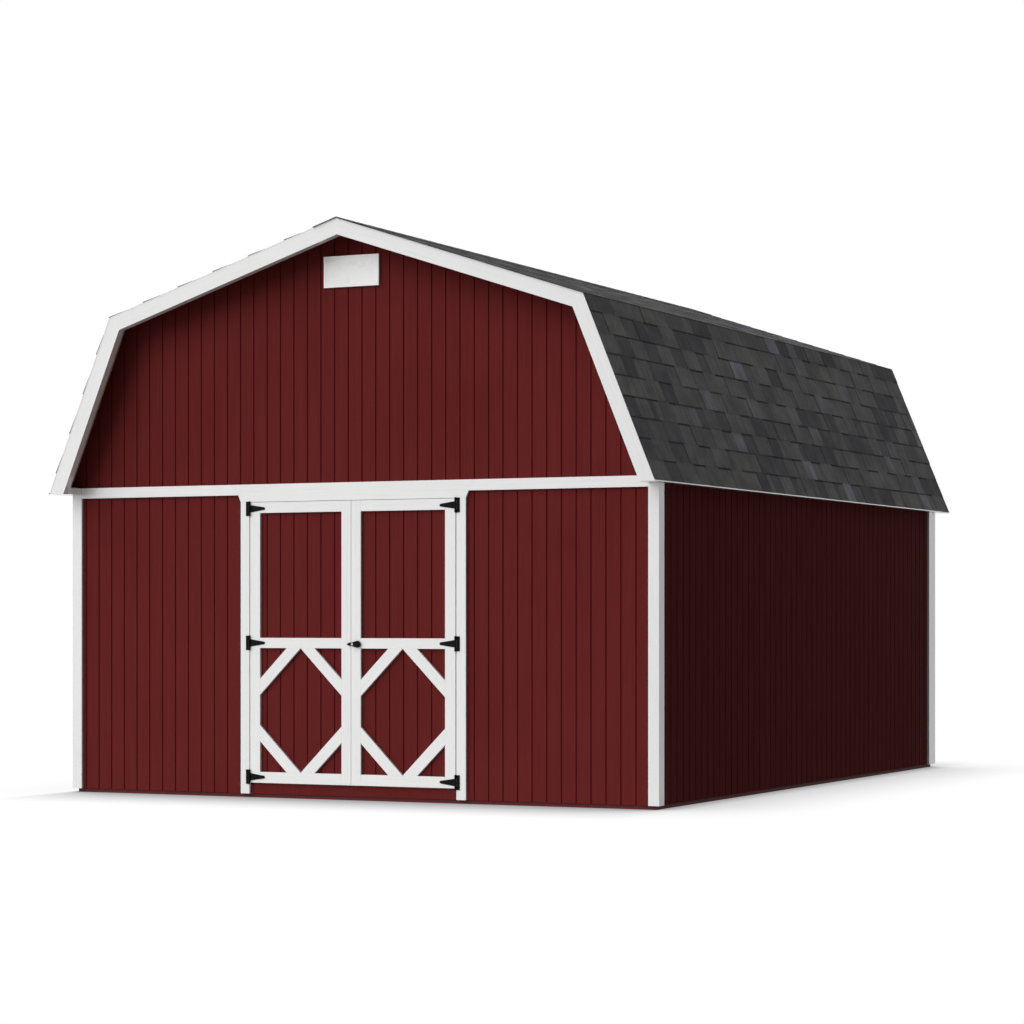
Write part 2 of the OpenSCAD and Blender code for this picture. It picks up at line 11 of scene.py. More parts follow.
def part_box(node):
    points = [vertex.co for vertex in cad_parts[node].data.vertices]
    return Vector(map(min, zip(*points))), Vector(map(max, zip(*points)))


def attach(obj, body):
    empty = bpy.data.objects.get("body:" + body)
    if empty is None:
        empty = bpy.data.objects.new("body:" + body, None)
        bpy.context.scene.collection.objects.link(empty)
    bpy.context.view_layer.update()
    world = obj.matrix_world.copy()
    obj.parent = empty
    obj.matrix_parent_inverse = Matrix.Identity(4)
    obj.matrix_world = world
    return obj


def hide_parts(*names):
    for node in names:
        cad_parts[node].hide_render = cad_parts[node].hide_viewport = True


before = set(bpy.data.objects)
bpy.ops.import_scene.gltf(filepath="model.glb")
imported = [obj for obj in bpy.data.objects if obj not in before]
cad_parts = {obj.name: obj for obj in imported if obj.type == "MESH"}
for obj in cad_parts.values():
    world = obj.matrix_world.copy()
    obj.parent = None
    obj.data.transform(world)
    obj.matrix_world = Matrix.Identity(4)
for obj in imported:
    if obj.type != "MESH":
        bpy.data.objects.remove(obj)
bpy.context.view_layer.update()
rng = random.Random(7)

# Sizes in metres, the same as in the solids
EAVE_X, EAVE_Z = 2.2245, 2.012
EAVE_REVEAL = 0.009
BREAK_X, BREAK_Z = 1.7415, 3.1795
RIDGE_Z = 3.745
RAKE_DEPTH = 0.0055
RAFTER_DEPTH = 0.0162
ROOM_DEPTH = 0.1052
RAFTER_T = 0.038
EXPOSURE = 0.142
TRIM_T = 0.019
CASING_W = 0.067
HEADER_FLARE = 0.049
GROOVE_DEPTH = 0.005
HINGE_STILE_W = 0.075
MEETING_STILE_W = 0.068
TOP_RAIL_H = 0.067
MID_RAIL_H = 0.067
BOTTOM_RAIL_H = 0.072
MID_RAIL_Z = 1.016
BRACE_W = 0.074
MEETING_LIP = 0.0018
TOP_LIP = 0.0036
SHINGLE_OVERHANG = 0.0035

# Places read from the solids
PLATE_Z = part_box("front_band")[1].z
BAND_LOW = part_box("front_band")[0].z
SIDING_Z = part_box("front_corner_boards")[0].z
TRIM_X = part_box("front_corner_boards")[1].x
CORNER_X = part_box("front_band")[1].x
WALL_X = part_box("right_siding")[1].x
WALL_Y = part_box("back_siding")[1].y
FRAME_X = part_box("floor_frame")[1].x
FRAME_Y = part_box("floor_frame")[1].y
TRIM_Y = WALL_Y + TRIM_T
RAKE_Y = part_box("lower_rake_boards")[1].y
FLY_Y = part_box("lower_fly_rafters")[1].y
SHINGLE_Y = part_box("lower_shingles")[1].y + SHINGLE_OVERHANG
FRONT_RETURN_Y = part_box("front_corner_boards")[1].y
BACK_RETURN_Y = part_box("back_corner_boards")[0].y
JAMB_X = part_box("front_right_siding")[0].x
DOOR_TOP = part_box("door_header_trim")[0].z
LEAF_LOW, LEAF_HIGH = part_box("right_door_trim")

# Edge roundings
BOARD_EASE = 0.0008
IRON_EASE = 0.0012

# Roof lines at a depth under the line of the shingles
LOWER_PITCH = math.atan2(BREAK_Z - EAVE_Z, EAVE_X - BREAK_X)
UPPER_PITCH = math.atan2(RIDGE_Z - BREAK_Z, BREAK_X)


def lower_x(z, depth):
    return EAVE_X - (z - EAVE_Z) / math.tan(LOWER_PITCH) - depth / math.sin(LOWER_PITCH)


def upper_z(x, depth):
    return RIDGE_Z - x * math.tan(UPPER_PITCH) - depth / math.cos(UPPER_PITCH)


def break_at(depth):
    level = lower_x(RIDGE_Z - depth / math.cos(UPPER_PITCH), depth)
    x = level / (1 - math.tan(UPPER_PITCH) / math.tan(LOWER_PITCH))
    return x, upper_z(x, depth)


# Shader helpers
def add(tree, kind, inputs=None, **settings):
    """Add a shader node, set its options, and set or wire its inputs."""
    node = tree.nodes.new("ShaderNode" + kind)
    for key, value in settings.items():
        setattr(node, key, value)
    for key, value in (inputs or {}).items():
        if isinstance(value, bpy.types.NodeSocket):
            tree.links.new(value, node.inputs[key])
        else:
            node.inputs[key].default_value = value
    return node


def new_finish(name, **sockets):
    """A material with its node tree and its Principled shader."""
    finish = bpy.data.materials.new(name)
    finish.use_nodes = True
    shader = finish.node_tree.nodes["Principled BSDF"]
    for key, value in sockets.items():
        shader.inputs[key.replace("_", " ")].default_value = value
    return finish, finish.node_tree, shader


def stretched(tree, coordinates, scale, turn=(0, 0, 0)):
    """Coordinates that are turned and then scaled, so that a pattern runs along the grain."""
    turned = add(tree, "Mapping", {"Vector": coordinates, "Rotation": turn})
    return add(tree, "Mapping", {"Vector": turned.outputs["Vector"], "Scale": scale}).outputs["Vector"]


def noise(tree, coordinates, scale, detail=4.0, roughness=0.55, distortion=0.0):
    inputs = {"Vector": coordinates, "Scale": scale, "Detail": detail,
              "Roughness": roughness, "Distortion": distortion}
    return add(tree, "TexNoise", inputs).outputs["Fac"]


def span(tree, value, low, high, new_low, new_high):
    """Map a value from one range to another, held at the ends."""
    inputs = {"Value": value, "From Min": low, "From Max": high, "To Min": new_low, "To Max": new_high}
    return add(tree, "MapRange", inputs).outputs["Result"]


def mixed(tree, share, first, second, blend="MIX"):
    inputs = {"Fac": share, "Color1": first, "Color2": second}
    return add(tree, "MixRGB", inputs, blend_type=blend).outputs["Color"]


def bumped(tree, shader, height, strength, distance):
    inputs = {"Height": height, "Strength": strength, "Distance": distance}
    bump = add(tree, "Bump", inputs)
    tree.links.new(bump.outputs["Normal"], shader.inputs["Normal"])


def colour_of(shader, tree, colour):
    tree.links.new(colour, shader.inputs["Base Color"])


def object_space(tree):
    return add(tree, "TexCoord").outputs["Object"]


def piece_value(tree, name):
    """A number that the mesh itself carries."""
    return add(tree, "Attribute", attribute_name=name).outputs["Fac"]


def worked(tree, operation, first, second=0.0):
    """The result of one sum on two numbers."""
    return add(tree, "Math", {0: first, 1: second}, operation=operation).outputs[0]


def product(tree, first, second):
    return worked(tree, "MULTIPLY", first, second)


def far_out(tree, space, axis):
    """The distance from the middle of the barn along one axis."""
    return worked(tree, "ABSOLUTE", add(tree, "SeparateXYZ", {"Vector": space}).outputs[axis])


def moved(tree, space, shift):
    return add(tree, "VectorMath", {0: space, 1: shift}, operation="ADD").outputs["Vector"]


def board_space(tree):
    """Each board's own coordinates: along the grain, then across it."""
    return add(tree, "Attribute", attribute_name="board").outputs["Vector"]


# Finishes
BARN_RED = (0.1175, 0.0168, 0.0163, 1)
DEEP_RED = (0.104, 0.0144, 0.0139, 1)
# Painted shade: the grooves' deeper red stands in for the shade inside them
GROOVE_SHADE_RED = (0.106, 0.0070, 0.0078, 1)
BARE_BOARD = (0.36, 0.25, 0.14, 1)
BARE_FLAKE = (0.28, 0.19, 0.10, 1)
PAINT_WHITE = (0.730, 0.730, 0.727, 1)
PAINT_SHADE = (0.703, 0.703, 0.700, 1)
VENT_WHITE = (0.86, 0.86, 0.86, 1)
VENT_DUST = (0.845, 0.845, 0.84, 1)
GLOSS = {"Specular_IOR_Level": 0.5, "Coat_Weight": 1.0, "Coat_Roughness": 0.15, "Coat_IOR": 1.9}
PINE_LIGHT = (0.60, 0.42, 0.23, 1)
PINE_DARK = (0.40, 0.24, 0.11, 1)
PLY_LIGHT = (0.58, 0.41, 0.23, 1)
PLY_DARK = (0.43, 0.28, 0.14, 1)
STRAND_LIGHT = (0.46, 0.30, 0.15, 1)
STRAND_DARK = (0.27, 0.16, 0.07, 1)
RIM_RED = (0.109, 0.0225, 0.0262, 1)
RIM_SHADE = (0.080, 0.015, 0.0178, 1)
IRON = (0.0040, 0.0044, 0.0046, 1)
IRON_SMUDGE = (0.0075, 0.0078, 0.0080, 1)
STEEL_LIGHT = (0.78, 0.78, 0.77, 1)
STEEL_DARK = (0.62, 0.62, 0.62, 1)

# Depths under an outer face between which a paint, or the painted shade of a groove, fades
GROOVE_LIP = 0.0004
SHEET_BACK = (0.0108, 0.0100)
RIM_PAINT = (0.002, 0.001)

# Stretch of the grain in timbers that stand, run along the barn or run across it
GRAIN_UPRIGHT = (45, 45, 1.6)
GRAIN_ALONG = (45, 1.6, 45)
GRAIN_ACROSS = (1.6, 45, 45)
RING_LINES = 9.0
VENEER_LINES = 11.0
GRAIN_START = 50

# Granules: tones from dark to pale, where the dark lines fade, and the light that is left in them; the
# dark lines are painted shade, on the cut edges in part
GRANULE_TONES = ((0.0, (0.074, 0.074, 0.085, 1)), (0.3, (0.124, 0.125, 0.129, 1)),
                 (0.62, (0.174, 0.177, 0.170, 1)), (0.82, (0.200, 0.197, 0.214, 1)),
                 (1.0, (0.275, 0.264, 0.312, 1)))
LOWER_STREAKS, UPPER_STREAKS = 0.26, 0.10
STREAK_SHIFT = 37.0
CUT_EDGE_TONE = 0.58
CUT_EDGE_EVEN = 0.4
BAND_FADE = (0.0155, 0.0105)
SIDE_SHADOW_FADE = (0.009, 0.014)
CUT_EDGE_AND_SHADE_LIGHT, BAND_LIGHT, SIDE_LIGHT = 0.10, 0.05, 0.25


def siding_finish(name, axis, wall_face):
    """Red paint on an embossed sheet, with painted shade in its grooves, and bare on its inner face."""
    finish, tree, shader = new_finish(name, Specular_IOR_Level=0.036)
    space = object_space(tree)
    reach = far_out(tree, space, axis)
    streaks = noise(tree, stretched(tree, space, (70, 70, 2.2)), 1.0, detail=5)
    patches = noise(tree, space, 1.3, detail=3)
    grain = noise(tree, stretched(tree, space, (420, 420, 14)), 1.0, detail=6, roughness=0.65)
    tint = worked(tree, "ADD", streaks, patches)
    paint = mixed(tree, span(tree, tint, 0.8, 1.2, 0, 1), BARN_RED, DEEP_RED)
    # Painted shade, deeper red towards the floor of each groove
    groove_shade = span(tree, reach, wall_face - GROOVE_DEPTH, wall_face - GROOVE_LIP, 1, 0)
    paint = mixed(tree, groove_shade, paint, GROOVE_SHADE_RED)
    inner = span(tree, reach, wall_face - SHEET_BACK[0], wall_face - SHEET_BACK[1], 1, 0)
    flakes = mixed(tree, span(tree, grain, 0.35, 0.65, 0, 1), BARE_BOARD, BARE_FLAKE)
    colour_of(shader, tree, mixed(tree, inner, paint, flakes))
    tree.links.new(span(tree, streaks, 0.3, 0.7, 0.72, 0.86), shader.inputs["Roughness"])
    bumped(tree, shader, grain, strength=0.22, distance=0.0012)
    return finish


def trim_finish():
    """White satin paint brushed along each board, with faint grain under it."""
    finish, tree, shader = new_finish("white_trim_paint", **GLOSS)
    space = board_space(tree)
    brush = noise(tree, stretched(tree, space, (3.0, 160, 160)), 1.0, detail=5, roughness=0.6)
    clouds = noise(tree, space, 2.2, detail=3)
    tone = worked(tree, "ADD", brush, clouds)
    colour_of(shader, tree, mixed(tree, span(tree, tone, 0.75, 1.25, 0, 1), PAINT_SHADE, PAINT_WHITE))
    tree.links.new(span(tree, brush, 0.3, 0.7, 0.24, 0.36), shader.inputs["Roughness"])
    bumped(tree, shader, brush, strength=0.12, distance=0.0008)
    return finish


def vent_finish():
    """White moulded plastic with a fine grain and a little dust."""
    finish, tree, shader = new_finish("vent_plastic", **GLOSS)
    space = object_space(tree)
    grain = noise(tree, space, 650.0, detail=2)
    dust = noise(tree, space, 14.0, detail=4)
    shade = mixed(tree, span(tree, dust, 0.35, 0.65, 0, 1), VENT_DUST, VENT_WHITE)
    colour_of(shader, tree, shade)
    tree.links.new(span(tree, dust, 0.3, 0.7, 0.24, 0.36), shader.inputs["Roughness"])
    bumped(tree, shader, grain, strength=0.1, distance=0.0003)
    return finish


def timber_finish(name, scale, turn=(0, 0, 0)):
    """Sawn softwood with its grain along one direction of the frame."""
    finish, tree, shader = new_finish(name, Roughness=0.72, Specular_IOR_Level=0.25)
    space = stretched(tree, object_space(tree), scale, turn)
    rings = noise(tree, space, 1.0, detail=3, distortion=0.8)
    lines = worked(tree, "PINGPONG", product(tree, rings, RING_LINES), 1.0)
    fibres = noise(tree, space, 6.0, detail=5, roughness=0.6)
    grain = product(tree, lines, fibres)
    wood = mixed(tree, span(tree, grain, 0.05, 0.55, 0, 1), PINE_LIGHT, PINE_DARK)
    stain = noise(tree, object_space(tree), 1.7, detail=2)
    wood = mixed(tree, span(tree, stain, 0.4, 0.7, 0, 0.35), wood, PINE_DARK, "MULTIPLY")
    colour_of(shader, tree, wood)
    bumped(tree, shader, fibres, strength=0.3, distance=0.0010)
    return finish


def plywood_finish():
    """Rotary-cut face veneer, with a broad figure along each sheet."""
    finish, tree, shader = new_finish("floor_plywood", Roughness=0.7, Specular_IOR_Level=0.25)
    space = board_space(tree)
    figure = noise(tree, stretched(tree, space, (0.9, 6, 6)), 1.0, detail=3, distortion=1.4)
    lines = worked(tree, "PINGPONG", product(tree, figure, VENEER_LINES), 1.0)
    fibres = noise(tree, stretched(tree, space, (7, 110, 110)), 1.0, detail=5, roughness=0.6)
    grain = product(tree, lines, fibres)
    colour_of(shader, tree, mixed(tree, span(tree, grain, 0.05, 0.6, 0, 1), PLY_LIGHT, PLY_DARK))
    bumped(tree, shader, fibres, strength=0.2, distance=0.0006)
    return finish


def sheathing_finish():
    """Pressed strand board for the roof deck, with flakes lying every way."""
    finish, tree, shader = new_finish("strand_board", Roughness=0.75, Specular_IOR_Level=0.2)
    space = object_space(tree)
    warp = noise(tree, space, 9.0, detail=2)
    bent = stretched(tree, moved(tree, space, warp), (26, 44, 26))
    flakes = add(tree, "TexVoronoi", {"Vector": bent, "Scale": 1.0})
    tone = add(tree, "SeparateColor", {"Color": flakes.outputs["Color"]}).outputs["Red"]
    colour_of(shader, tree, mixed(tree, tone, STRAND_LIGHT, STRAND_DARK))
    bumped(tree, shader, flakes.outputs["Distance"], strength=0.25, distance=0.002)
    return finish


def floor_frame_finish():
    """Sawn joists whose outer rim is painted with the siding."""
    finish, tree, shader = new_finish("floor_frame_wood", Roughness=0.7, Specular_IOR_Level=0.25)
    space = object_space(tree)
    rims = []
    for axis, face in (("X", FRAME_X), ("Y", FRAME_Y)):
        reach = far_out(tree, space, axis)
        rims.append(span(tree, reach, face - RIM_PAINT[0], face - RIM_PAINT[1], 0, 1))
    rim = worked(tree, "MAXIMUM", *rims)
    fibres = noise(tree, stretched(tree, space, (5, 60, 60)), 1.0, detail=5)
    wood = mixed(tree, fibres, PINE_LIGHT, PINE_DARK)
    paint = mixed(tree, fibres, RIM_RED, RIM_SHADE)
    colour_of(shader, tree, mixed(tree, rim, wood, paint))
    bumped(tree, shader, fibres, strength=0.25, distance=0.001)
    return finish


def shingle_finish(name, streak_depth):
    """Mineral granules on asphalt in tabs of several tones, with painted shade on the cut edges in
    part, in a band under each course and beside some tabs.
    """
    finish, tree, shader = new_finish(name, Roughness=0.92, Specular_IOR_Level=0.2)
    space = object_space(tree)
    tone = piece_value(tree, "tab_tone")
    edge = piece_value(tree, "cut_edge_and_shade")
    edge_and_shade_share = span(tree, edge, 0, CUT_EDGE_EVEN, 0, 1)
    even_tone = add(tree, "Mix", {"Factor": edge_and_shade_share, "A": tone, "B": CUT_EDGE_TONE}).outputs["Result"]
    ramp = add(tree, "ValToRGB", {"Fac": even_tone})
    for place, _ in GRANULE_TONES[1:-1]:
        ramp.color_ramp.elements.new(place)
    for element, (place, colour) in zip(ramp.color_ramp.elements, GRANULE_TONES):
        element.position = place
        element.color = colour
    granules = noise(tree, space, 420.0, detail=2, roughness=0.7)
    own_start = moved(tree, space, product(tree, tone, STREAK_SHIFT))
    streaks = noise(tree, stretched(tree, own_start, (4, 50, 4)), 1.0, detail=4, roughness=0.65)
    patches = noise(tree, stretched(tree, space, (6, 4, 6)), 1.0, detail=2)
    rise = piece_value(tree, "course_rise")
    # Painted shade: a dark band at the top of each exposure, under the butts of the next course, after
    # the printed shadow band of laminated shingles
    rise = span(tree, rise, EXPOSURE - BAND_FADE[0], EXPOSURE - BAND_FADE[1], 0, 1)
    band = product(tree, rise, piece_value(tree, "shadow_band"))
    # Painted shadow: a dark line along the start end of some tabs, as the shade beside a raised tab
    run = span(tree, piece_value(tree, "tab_run"), *SIDE_SHADOW_FADE, 1, 0)
    side = product(tree, run, piece_value(tree, "side_shadow_line"))
    streak_dark = span(tree, edge_and_shade_share, 0, 1, 1 - streak_depth, 1)
    streak_light = span(tree, edge_and_shade_share, 0, 1, 1 + streak_depth, 1)
    light = product(tree, span(tree, granules, 0.3, 0.7, 0.60, 1.40),
                    span(tree, streaks, 0.3, 0.7, streak_dark, streak_light))
    light = product(tree, light, span(tree, patches, 0.35, 0.65, 0.78, 1.18))
    # Painted shade in part: butts and sides are darker than their asphalt alone, most on the lower
    # slope
    light = product(tree, light, span(tree, edge, 0, 1, 1.0, CUT_EDGE_AND_SHADE_LIGHT))
    light = product(tree, light, span(tree, band, 0, 1, 1.0, BAND_LIGHT))
    light = product(tree, light, span(tree, side, 0, 1, 1.0, SIDE_LIGHT))
    colour_of(shader, tree, mixed(tree, 1.0, ramp.outputs["Color"], light, "MULTIPLY"))
    bumped(tree, shader, granules, strength=0.5, distance=0.0015)
    return finish


def iron_finish():
    """Black powder coat with a fine orange peel."""
    finish, tree, shader = new_finish("black_iron", Specular_IOR_Level=0.06)
    space = object_space(tree)
    peel = noise(tree, space, 900.0, detail=2)
    smudge = noise(tree, space, 45.0, detail=3)
    colour_of(shader, tree, mixed(tree, smudge, IRON, IRON_SMUDGE))
    tree.links.new(span(tree, smudge, 0.3, 0.7, 0.30, 0.46), shader.inputs["Roughness"])
    bumped(tree, shader, peel, strength=0.2, distance=0.0004)
    return finish


def steel_finish():
    """Bright turned steel for the lock's face."""
    finish, tree, shader = new_finish("bright_steel", Metallic=1.0)
    space = object_space(tree)
    rings = noise(tree, space, 700.0, detail=3)
    colour_of(shader, tree, mixed(tree, rings, STEEL_LIGHT, STEEL_DARK))
    tree.links.new(span(tree, rings, 0.3, 0.7, 0.22, 0.38), shader.inputs["Roughness"])
    return finish


RED_FRONT = siding_finish("red_siding_front", "Y", WALL_Y)
RED_SIDE = siding_finish("red_siding_side", "X", WALL_X)
WHITE = trim_finish()
VENT_PLASTIC = vent_finish()
STUDS = timber_finish("stud_pine", GRAIN_UPRIGHT)
FLOOR_PLY = plywood_finish()
RIDGE_PINE = timber_finish("ridge_pine", GRAIN_ALONG)
LINTEL_PINE = timber_finish("lintel_pine", GRAIN_ACROSS)
DECK = sheathing_finish()
JOISTS = floor_frame_finish()
LOWER_SHINGLES = shingle_finish("charcoal_shingles", LOWER_STREAKS)
UPPER_SHINGLES = shingle_finish("upper_charcoal_shingles", UPPER_STREAKS)
BLACK = iron_finish()
STEEL = steel_finish()


# Solids that keep their own shape
def dress(finish, *nodes):
    for node in nodes:
        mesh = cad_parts[node].data
        mesh.materials.clear()
        mesh.materials.append(finish)


def rafter_finish(name, pitch):
    return timber_finish(name, GRAIN_ACROSS, turn=(0, pitch, 0))


dress(RED_FRONT, "front_left_siding", "front_right_siding", "front_gable_siding", "back_siding",
      "back_gable_siding", "door_sill_strip", "left_door_panel", "right_door_panel")
dress(RED_SIDE, "left_siding", "right_siding")
dress(STUDS, "left_wall_frame", "right_wall_frame", "back_wall_frame", "front_left_wall_frame",
      "front_right_wall_frame", "front_gable_frame", "back_gable_frame", "left_door_frame",
      "right_door_frame")
dress(LINTEL_PINE, "door_lintel")
dress(RIDGE_PINE, "ridge_board")
dress(JOISTS, "floor_frame")
dress(DECK, "lower_roof_boards", "upper_roof_boards", "rafter_gussets")
dress(rafter_finish("lower_left_pine", LOWER_PITCH), "left_lower_rafters")
dress(rafter_finish("lower_right_pine", -LOWER_PITCH), "right_lower_rafters")
dress(rafter_finish("upper_left_pine", UPPER_PITCH), "left_upper_rafters")
dress(rafter_finish("upper_right_pine", -UPPER_PITCH), "right_upper_rafters")


# Shaping helpers
def box_mesh(low, high):
    """A square-edged block between two corners."""
    low, high = Vector(low), Vector(high)
    bm = bmesh.new()
    bmesh.ops.create_cube(bm, size=1.0)
    bmesh.ops.scale(bm, vec=high - low, verts=bm.verts)
    bmesh.ops.translate(bm, vec=(low + high) / 2, verts=bm.verts)
    return bm


def outline_mesh(outline, start, end):
    """A block sawn to an outline in x and z, from y = start to y = end."""
    bm = bmesh.new()
    face = bm.faces.new([bm.verts.new((x, start, z)) for x, z in outline])
    pushed = bmesh.ops.extrude_face_region(bm, geom=[face])["geom"]
    carried = [g for g in pushed if isinstance(g, bmesh.types.BMVert)]
    bmesh.ops.translate(bm, vec=(0, end - start, 0), verts=carried)
    bmesh.ops.recalc_face_normals(bm, faces=bm.faces)
    return bm


def eased(bm, radius, segments=2, sharp=()):
    """Round every edge of a block a little, apart from those that stay sharp."""
    bmesh.ops.bevel(bm, geom=[e for e in bm.edges if e not in sharp], offset=radius, affect="EDGES",
                    segments=segments, profile=0.5, material=-1, clamp_overlap=True)
    return bm


def grained(bm, along):
    """Note each point's place along and across the board, from a start of its own."""
    along = Vector(along).normalized()
    across = along.orthogonal().normalized()
    through = along.cross(across)
    start = Vector([rng.uniform(0, GRAIN_START) for _ in range(3)])
    layer = bm.verts.layers.float_vector.new("board")
    for vert in bm.verts:
        vert[layer] = Vector((vert.co.dot(along), vert.co.dot(across), vert.co.dot(through))) + start
    return bm


def board(low, high, along):
    return grained(eased(box_mesh(low, high), BOARD_EASE), along)


def at_corner(vert, corners):
    """Whether a point lies at one of the corners of an outline."""
    return min(math.hypot(vert.co.x - x, vert.co.z - z) for x, z in corners) < BOARD_EASE / 4


def sawn_board(outline, start, end, along, joints=()):
    """A board sawn to an outline; joints are the sides of the outline that butt against a board."""
    bm = outline_mesh(outline, start, end)
    tight = set()
    for side in joints:
        corners = (outline[side], outline[(side + 1) % len(outline)])
        tight.update(e for e in bm.edges if all(at_corner(v, corners) for v in e.verts))
    return grained(eased(bm, BOARD_EASE, sharp=tight), along)


def mirrored(outline):
    return [(-x, z) for x, z in outline]


def make_piece(name, parts, finish, body, slot, *nodes):
    """Join parts into one mesh that rides on a body and stands for solids."""
    joined = bmesh.new()
    for part in parts:
        scrap = bpy.data.meshes.new("scrap")
        part.to_mesh(scrap)
        part.free()
        joined.from_mesh(scrap)
        bpy.data.meshes.remove(scrap)
    mesh = bpy.data.meshes.new(name)
    joined.to_mesh(mesh)
    joined.free()
    mesh.materials.append(finish)
    piece = bpy.data.objects.new(name, mesh)
    bpy.context.scene.collection.objects.link(piece)
    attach(piece, body)
    if nodes:
        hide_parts(*nodes)


# White trim
def rake_outlines(top, bottom, cut_x):
    """Outlines of the lower and the upper board on the right, between two depths."""
    lower = [(lower_x(EAVE_Z, top), EAVE_Z), break_at(top),
             break_at(bottom), (lower_x(EAVE_Z, bottom), EAVE_Z)]
    upper = [break_at(top), (cut_x, upper_z(cut_x, top)),
             (cut_x, upper_z(cut_x, bottom)), break_at(bottom)]
    return lower, upper


def slope_boards(top, bottom, cut_x, spans):
    """Sloping boards on both sides, lower and upper ones apart, tight at the break and the ridge."""
    lower, upper = rake_outlines(top, bottom, cut_x)
    made = ([], [])
    kinds = ((made[0], lower, LOWER_PITCH, (1,)), (made[1], upper, UPPER_PITCH, (1, 3)))
    for start, end in spans:
        for flip in (1, -1):
            for boards, outline, pitch, joints in kinds:
                shape = outline if flip == 1 else mirrored(outline)
                along = (-flip * math.cos(pitch), 0, math.sin(pitch))
                boards.append(sawn_board(shape, start, end, along, joints))
    return made


def make_roof_trim():
    rakes = slope_boards(RAKE_DEPTH, ROOM_DEPTH, 0, [(-RAKE_Y, -FLY_Y), (FLY_Y, RAKE_Y)])
    make_piece("lower_rakes", rakes[0], WHITE, "barn", "trim", "lower_rake_boards")
    make_piece("upper_rakes", rakes[1], WHITE, "barn", "trim", "upper_rake_boards")
    fly_in = FLY_Y - RAFTER_T
    flies = slope_boards(RAFTER_DEPTH, ROOM_DEPTH, RAFTER_T / 2, [(-FLY_Y, -fly_in), (fly_in, FLY_Y)])
    make_piece("lower_fly_boards", flies[0], WHITE, "barn", "trim", "lower_fly_rafters")
    make_piece("upper_fly_boards", flies[1], WHITE, "barn", "trim", "upper_fly_rafters")


def make_eaves():
    end_y = FLY_Y - RAFTER_T
    runs = ((WALL_X, -TRIM_Y, TRIM_Y), (CORNER_X, -end_y, -TRIM_Y), (CORNER_X, TRIM_Y, end_y))
    boards = []
    for flip in (1, -1):
        for inner_x, start, end in runs:
            outline = [(inner_x, EAVE_Z), (lower_x(EAVE_Z, RAFTER_DEPTH), EAVE_Z),
                       (lower_x(PLATE_Z, RAFTER_DEPTH), PLATE_Z), (inner_x, PLATE_Z)]
            shape = outline if flip == 1 else mirrored(outline)
            boards.append(sawn_board(shape, start, end, (0, 1, 0)))
    make_piece("eave_trim", boards, WHITE, "barn", "trim", "eave_boards")


DRIP_DEPTHS = (0.0010, 0.0039)
DRIP_GAP = 0.0016
DRIP_EASE = 0.0003
RAKE_DRIP_DEPTHS = (0.0006, 0.0064)
RAKE_DRIP_T = 0.0012


def make_drip_edges():
    """A white strip along each eave that covers the edge of the roof boards under the first course."""
    outer, inner = DRIP_DEPTHS
    top = EAVE_Z + EAVE_REVEAL - DRIP_GAP
    outline = [(lower_x(EAVE_Z, inner), EAVE_Z), (lower_x(EAVE_Z, outer), EAVE_Z),
               (lower_x(top, outer), top), (lower_x(top, inner), top)]
    strips = []
    for shape in (outline, mirrored(outline)):
        strip = outline_mesh(shape, -SHINGLE_Y, SHINGLE_Y)
        strips.append(grained(eased(strip, DRIP_EASE, segments=1), (0, 1, 0)))
    make_piece("eave_drip_edges", strips, WHITE, "barn", "trim")
    rakes = []
    for shape in rake_outlines(*RAKE_DRIP_DEPTHS, 0):
        for start in (-RAKE_Y - RAKE_DRIP_T, RAKE_Y):
            strip = outline_mesh(mirrored(shape), start, start + RAKE_DRIP_T)
            rakes.append(grained(eased(strip, DRIP_EASE, segments=1), (0, 0, 1)))
    make_piece("left_rake_drip_edges", rakes, WHITE, "barn", "trim")


def make_corners():
    for name, face, wall, back, node in (
        ("front_corners", -TRIM_Y, -WALL_Y, FRONT_RETURN_Y, "front_corner_boards"),
        ("back_corners", TRIM_Y, WALL_Y, BACK_RETURN_Y, "back_corner_boards"),
    ):
        boards = []
        for flip in (1, -1):
            x_face = sorted((flip * CORNER_X, flip * TRIM_X))
            x_side = sorted((flip * WALL_X, flip * TRIM_X))
            y_face = sorted((face, wall))
            y_side = sorted((wall, back))
            for xs, ys in ((x_face, y_face), (x_side, y_side)):
                boards.append(board((xs[0], ys[0], SIDING_Z), (xs[1], ys[1], EAVE_Z), (0, 0, 1)))
        make_piece(name, boards, WHITE, "barn", "trim", node)


def make_front_trim():
    low_x = JAMB_X + CASING_W
    high_x = low_x + HEADER_FLARE
    lean = HEADER_FLARE / (PLATE_Z - DOOR_TOP)
    header = [(-low_x, DOOR_TOP), (low_x, DOOR_TOP), (high_x, PLATE_Z), (-high_x, PLATE_Z)]
    headers = [sawn_board(header, -TRIM_Y, -WALL_Y, (1, 0, 0))]
    make_piece("door_header", headers, WHITE, "barn", "trim", "door_header_trim")
    band_x = low_x + (BAND_LOW - DOOR_TOP) * lean
    band = [(band_x, BAND_LOW), (CORNER_X, BAND_LOW), (CORNER_X, PLATE_Z), (high_x, PLATE_Z)]
    bands = [sawn_board(shape, -TRIM_Y, -WALL_Y, (1, 0, 0)) for shape in (band, mirrored(band))]
    make_piece("front_bands", bands, WHITE, "barn", "trim", "front_band")
    back = board((-CORNER_X, WALL_Y, BAND_LOW), (CORNER_X, TRIM_Y, PLATE_Z), (1, 0, 0))
    make_piece("back_bands", [back], WHITE, "barn", "trim", "back_band")
    casings = []
    for flip in (1, -1):
        sides = sorted((flip * JAMB_X, flip * low_x))
        casings.append(board((sides[0], -TRIM_Y, SIDING_Z), (sides[1], -WALL_Y, DOOR_TOP), (0, 0, 1)))
    make_piece("door_side_casings", casings, WHITE, "barn", "trim", "door_casings")


